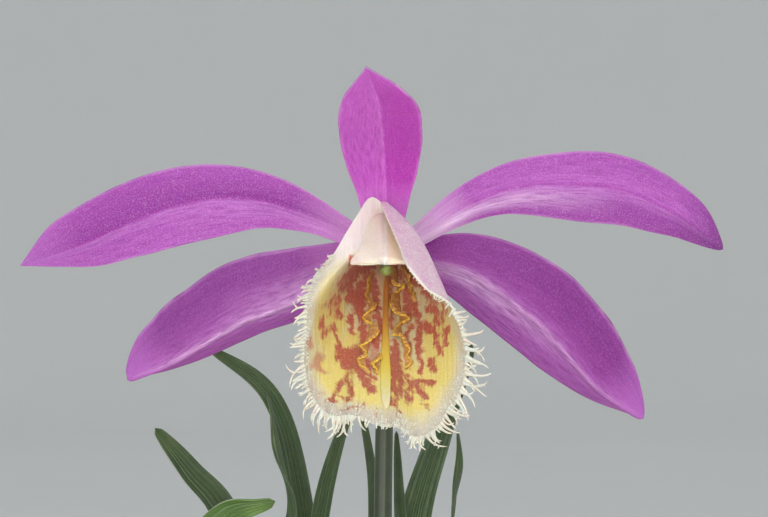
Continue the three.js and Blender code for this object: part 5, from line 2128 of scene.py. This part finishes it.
@dataclass
class HiddenParts:
    """The parts inside the pot and under the hood, which keep their own solids."""

    finishes: dict[str, Finish] = field(default_factory=lambda: {
        "drainage_crock": Finishes.shard,
        "pollinia": Finishes.pollen,
        **{f"root_tuft_{i}": Finishes.root for i in range(1, 6)},
    })

    def build(self) -> None:
        """Gives each of them its finish."""
        for name, finish in self.finishes.items():
            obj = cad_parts[name]
            obj.data.materials.clear()
            obj.data.materials.append(finish.material())
            log.info("%s: finished", name)


# Studio


@dataclass
class Studio:
    """A pale seamless backdrop, soft lights and the camera."""

    radius: float = 4.2
    corner: float = 1.2
    wall: float = 3.2
    # Each light: place and size in metres, power in watts
    lights: Sequence[tuple[str, Point, float, float]] = (
        ("key_light", (0.5, -1.15, 0.95), 0.7, 3.5),
        ("front_light", (-0.1, -1.15, 0.14), 0.5, 9.4),
        ("back_light", (-0.3, 0.8, 0.9), 0.7, 5.0),
    )
    target: Point = (0.0, 0.0, 0.17)

    def build(self) -> None:
        """Builds the studio."""
        self.build_backdrop()
        self.build_lights()
        self.build_camera()

    def build_backdrop(self) -> None:
        """Models a bowl-shaped backdrop: a floor that curves up into a wall all round."""

        def bowl(u: Array, v: Array) -> Array:
            turn = 2 * np.pi * (u % 1.0)
            bend = 0.5 * np.pi * np.clip((v - 0.4) / 0.3, 0.0, 1.0)
            flat = self.radius - self.corner
            radius = np.where(v < 0.4, flat * v / 0.4, flat + self.corner * np.sin(bend))
            z = self.corner * (1.0 - np.cos(bend)) + self.wall * np.clip((v - 0.7) / 0.3, 0.0, 1.0)
            return np.stack([radius * np.cos(turn), radius * np.sin(turn), z], axis=-1) / MM

        obj = shaped_grid("backdrop", 96, 80, bowl)
        face_towards(obj, UP)
        obj.data.materials.clear()
        obj.data.materials.append(Finishes.backdrop.material())

    def build_lights(self) -> None:
        """Adds the soft lights and the pale surroundings."""
        for name, place, size, power in self.lights:
            data = bpy.data.lights.new(name, "AREA")
            data.shape = "DISK"
            data.size = size
            data.energy = power
            lamp = bpy.data.objects.new(name, data)
            lamp.location = place
            lamp.rotation_euler = (Vector(place) - Vector(self.target)).to_track_quat("Z", "Y").to_euler()
            bpy.context.collection.objects.link(lamp)
        world = bpy.data.worlds.new("studio air")
        world.use_nodes = True
        background = world.node_tree.nodes["Background"]
        background.inputs["Color"].default_value = linear("#F2F4F6")
        background.inputs["Strength"].default_value = 0.9
        bpy.context.scene.world = world
        bpy.context.scene.view_settings.view_transform = "Standard"

    def build_camera(self) -> None:
        """Adds the camera, straight in front of the flower and level with it."""
        data = bpy.data.cameras.new("camera")
        data.sensor_width = 36.0
        data.lens = data.sensor_width * VIEW.focus_pixels / VIEW.pixels_across
        data.clip_start = 0.01
        camera = bpy.data.objects.new("camera", data)
        camera.location = (0.0, -VIEW.distance * MM, VIEW.height * MM)
        camera.rotation_euler = (math.pi / 2, 0.0, 0.0)
        bpy.context.collection.objects.link(camera)
        bpy.context.scene.camera = camera


def main() -> None:
    """Builds the studio and every piece."""
    logging.basicConfig(level=logging.INFO, format="%(message)s")
    Studio().build()
    Pot().build()
    Filling().build()
    for bulb in BULBS:
        bulb.build()
    Shoots().build()
    FlowerStem().build()
    for tepal in TEPALS:
        tepal.build()
    Lip().build()
    Column().build()
    HiddenParts().build()


if __name__ == "__main__":
    main()
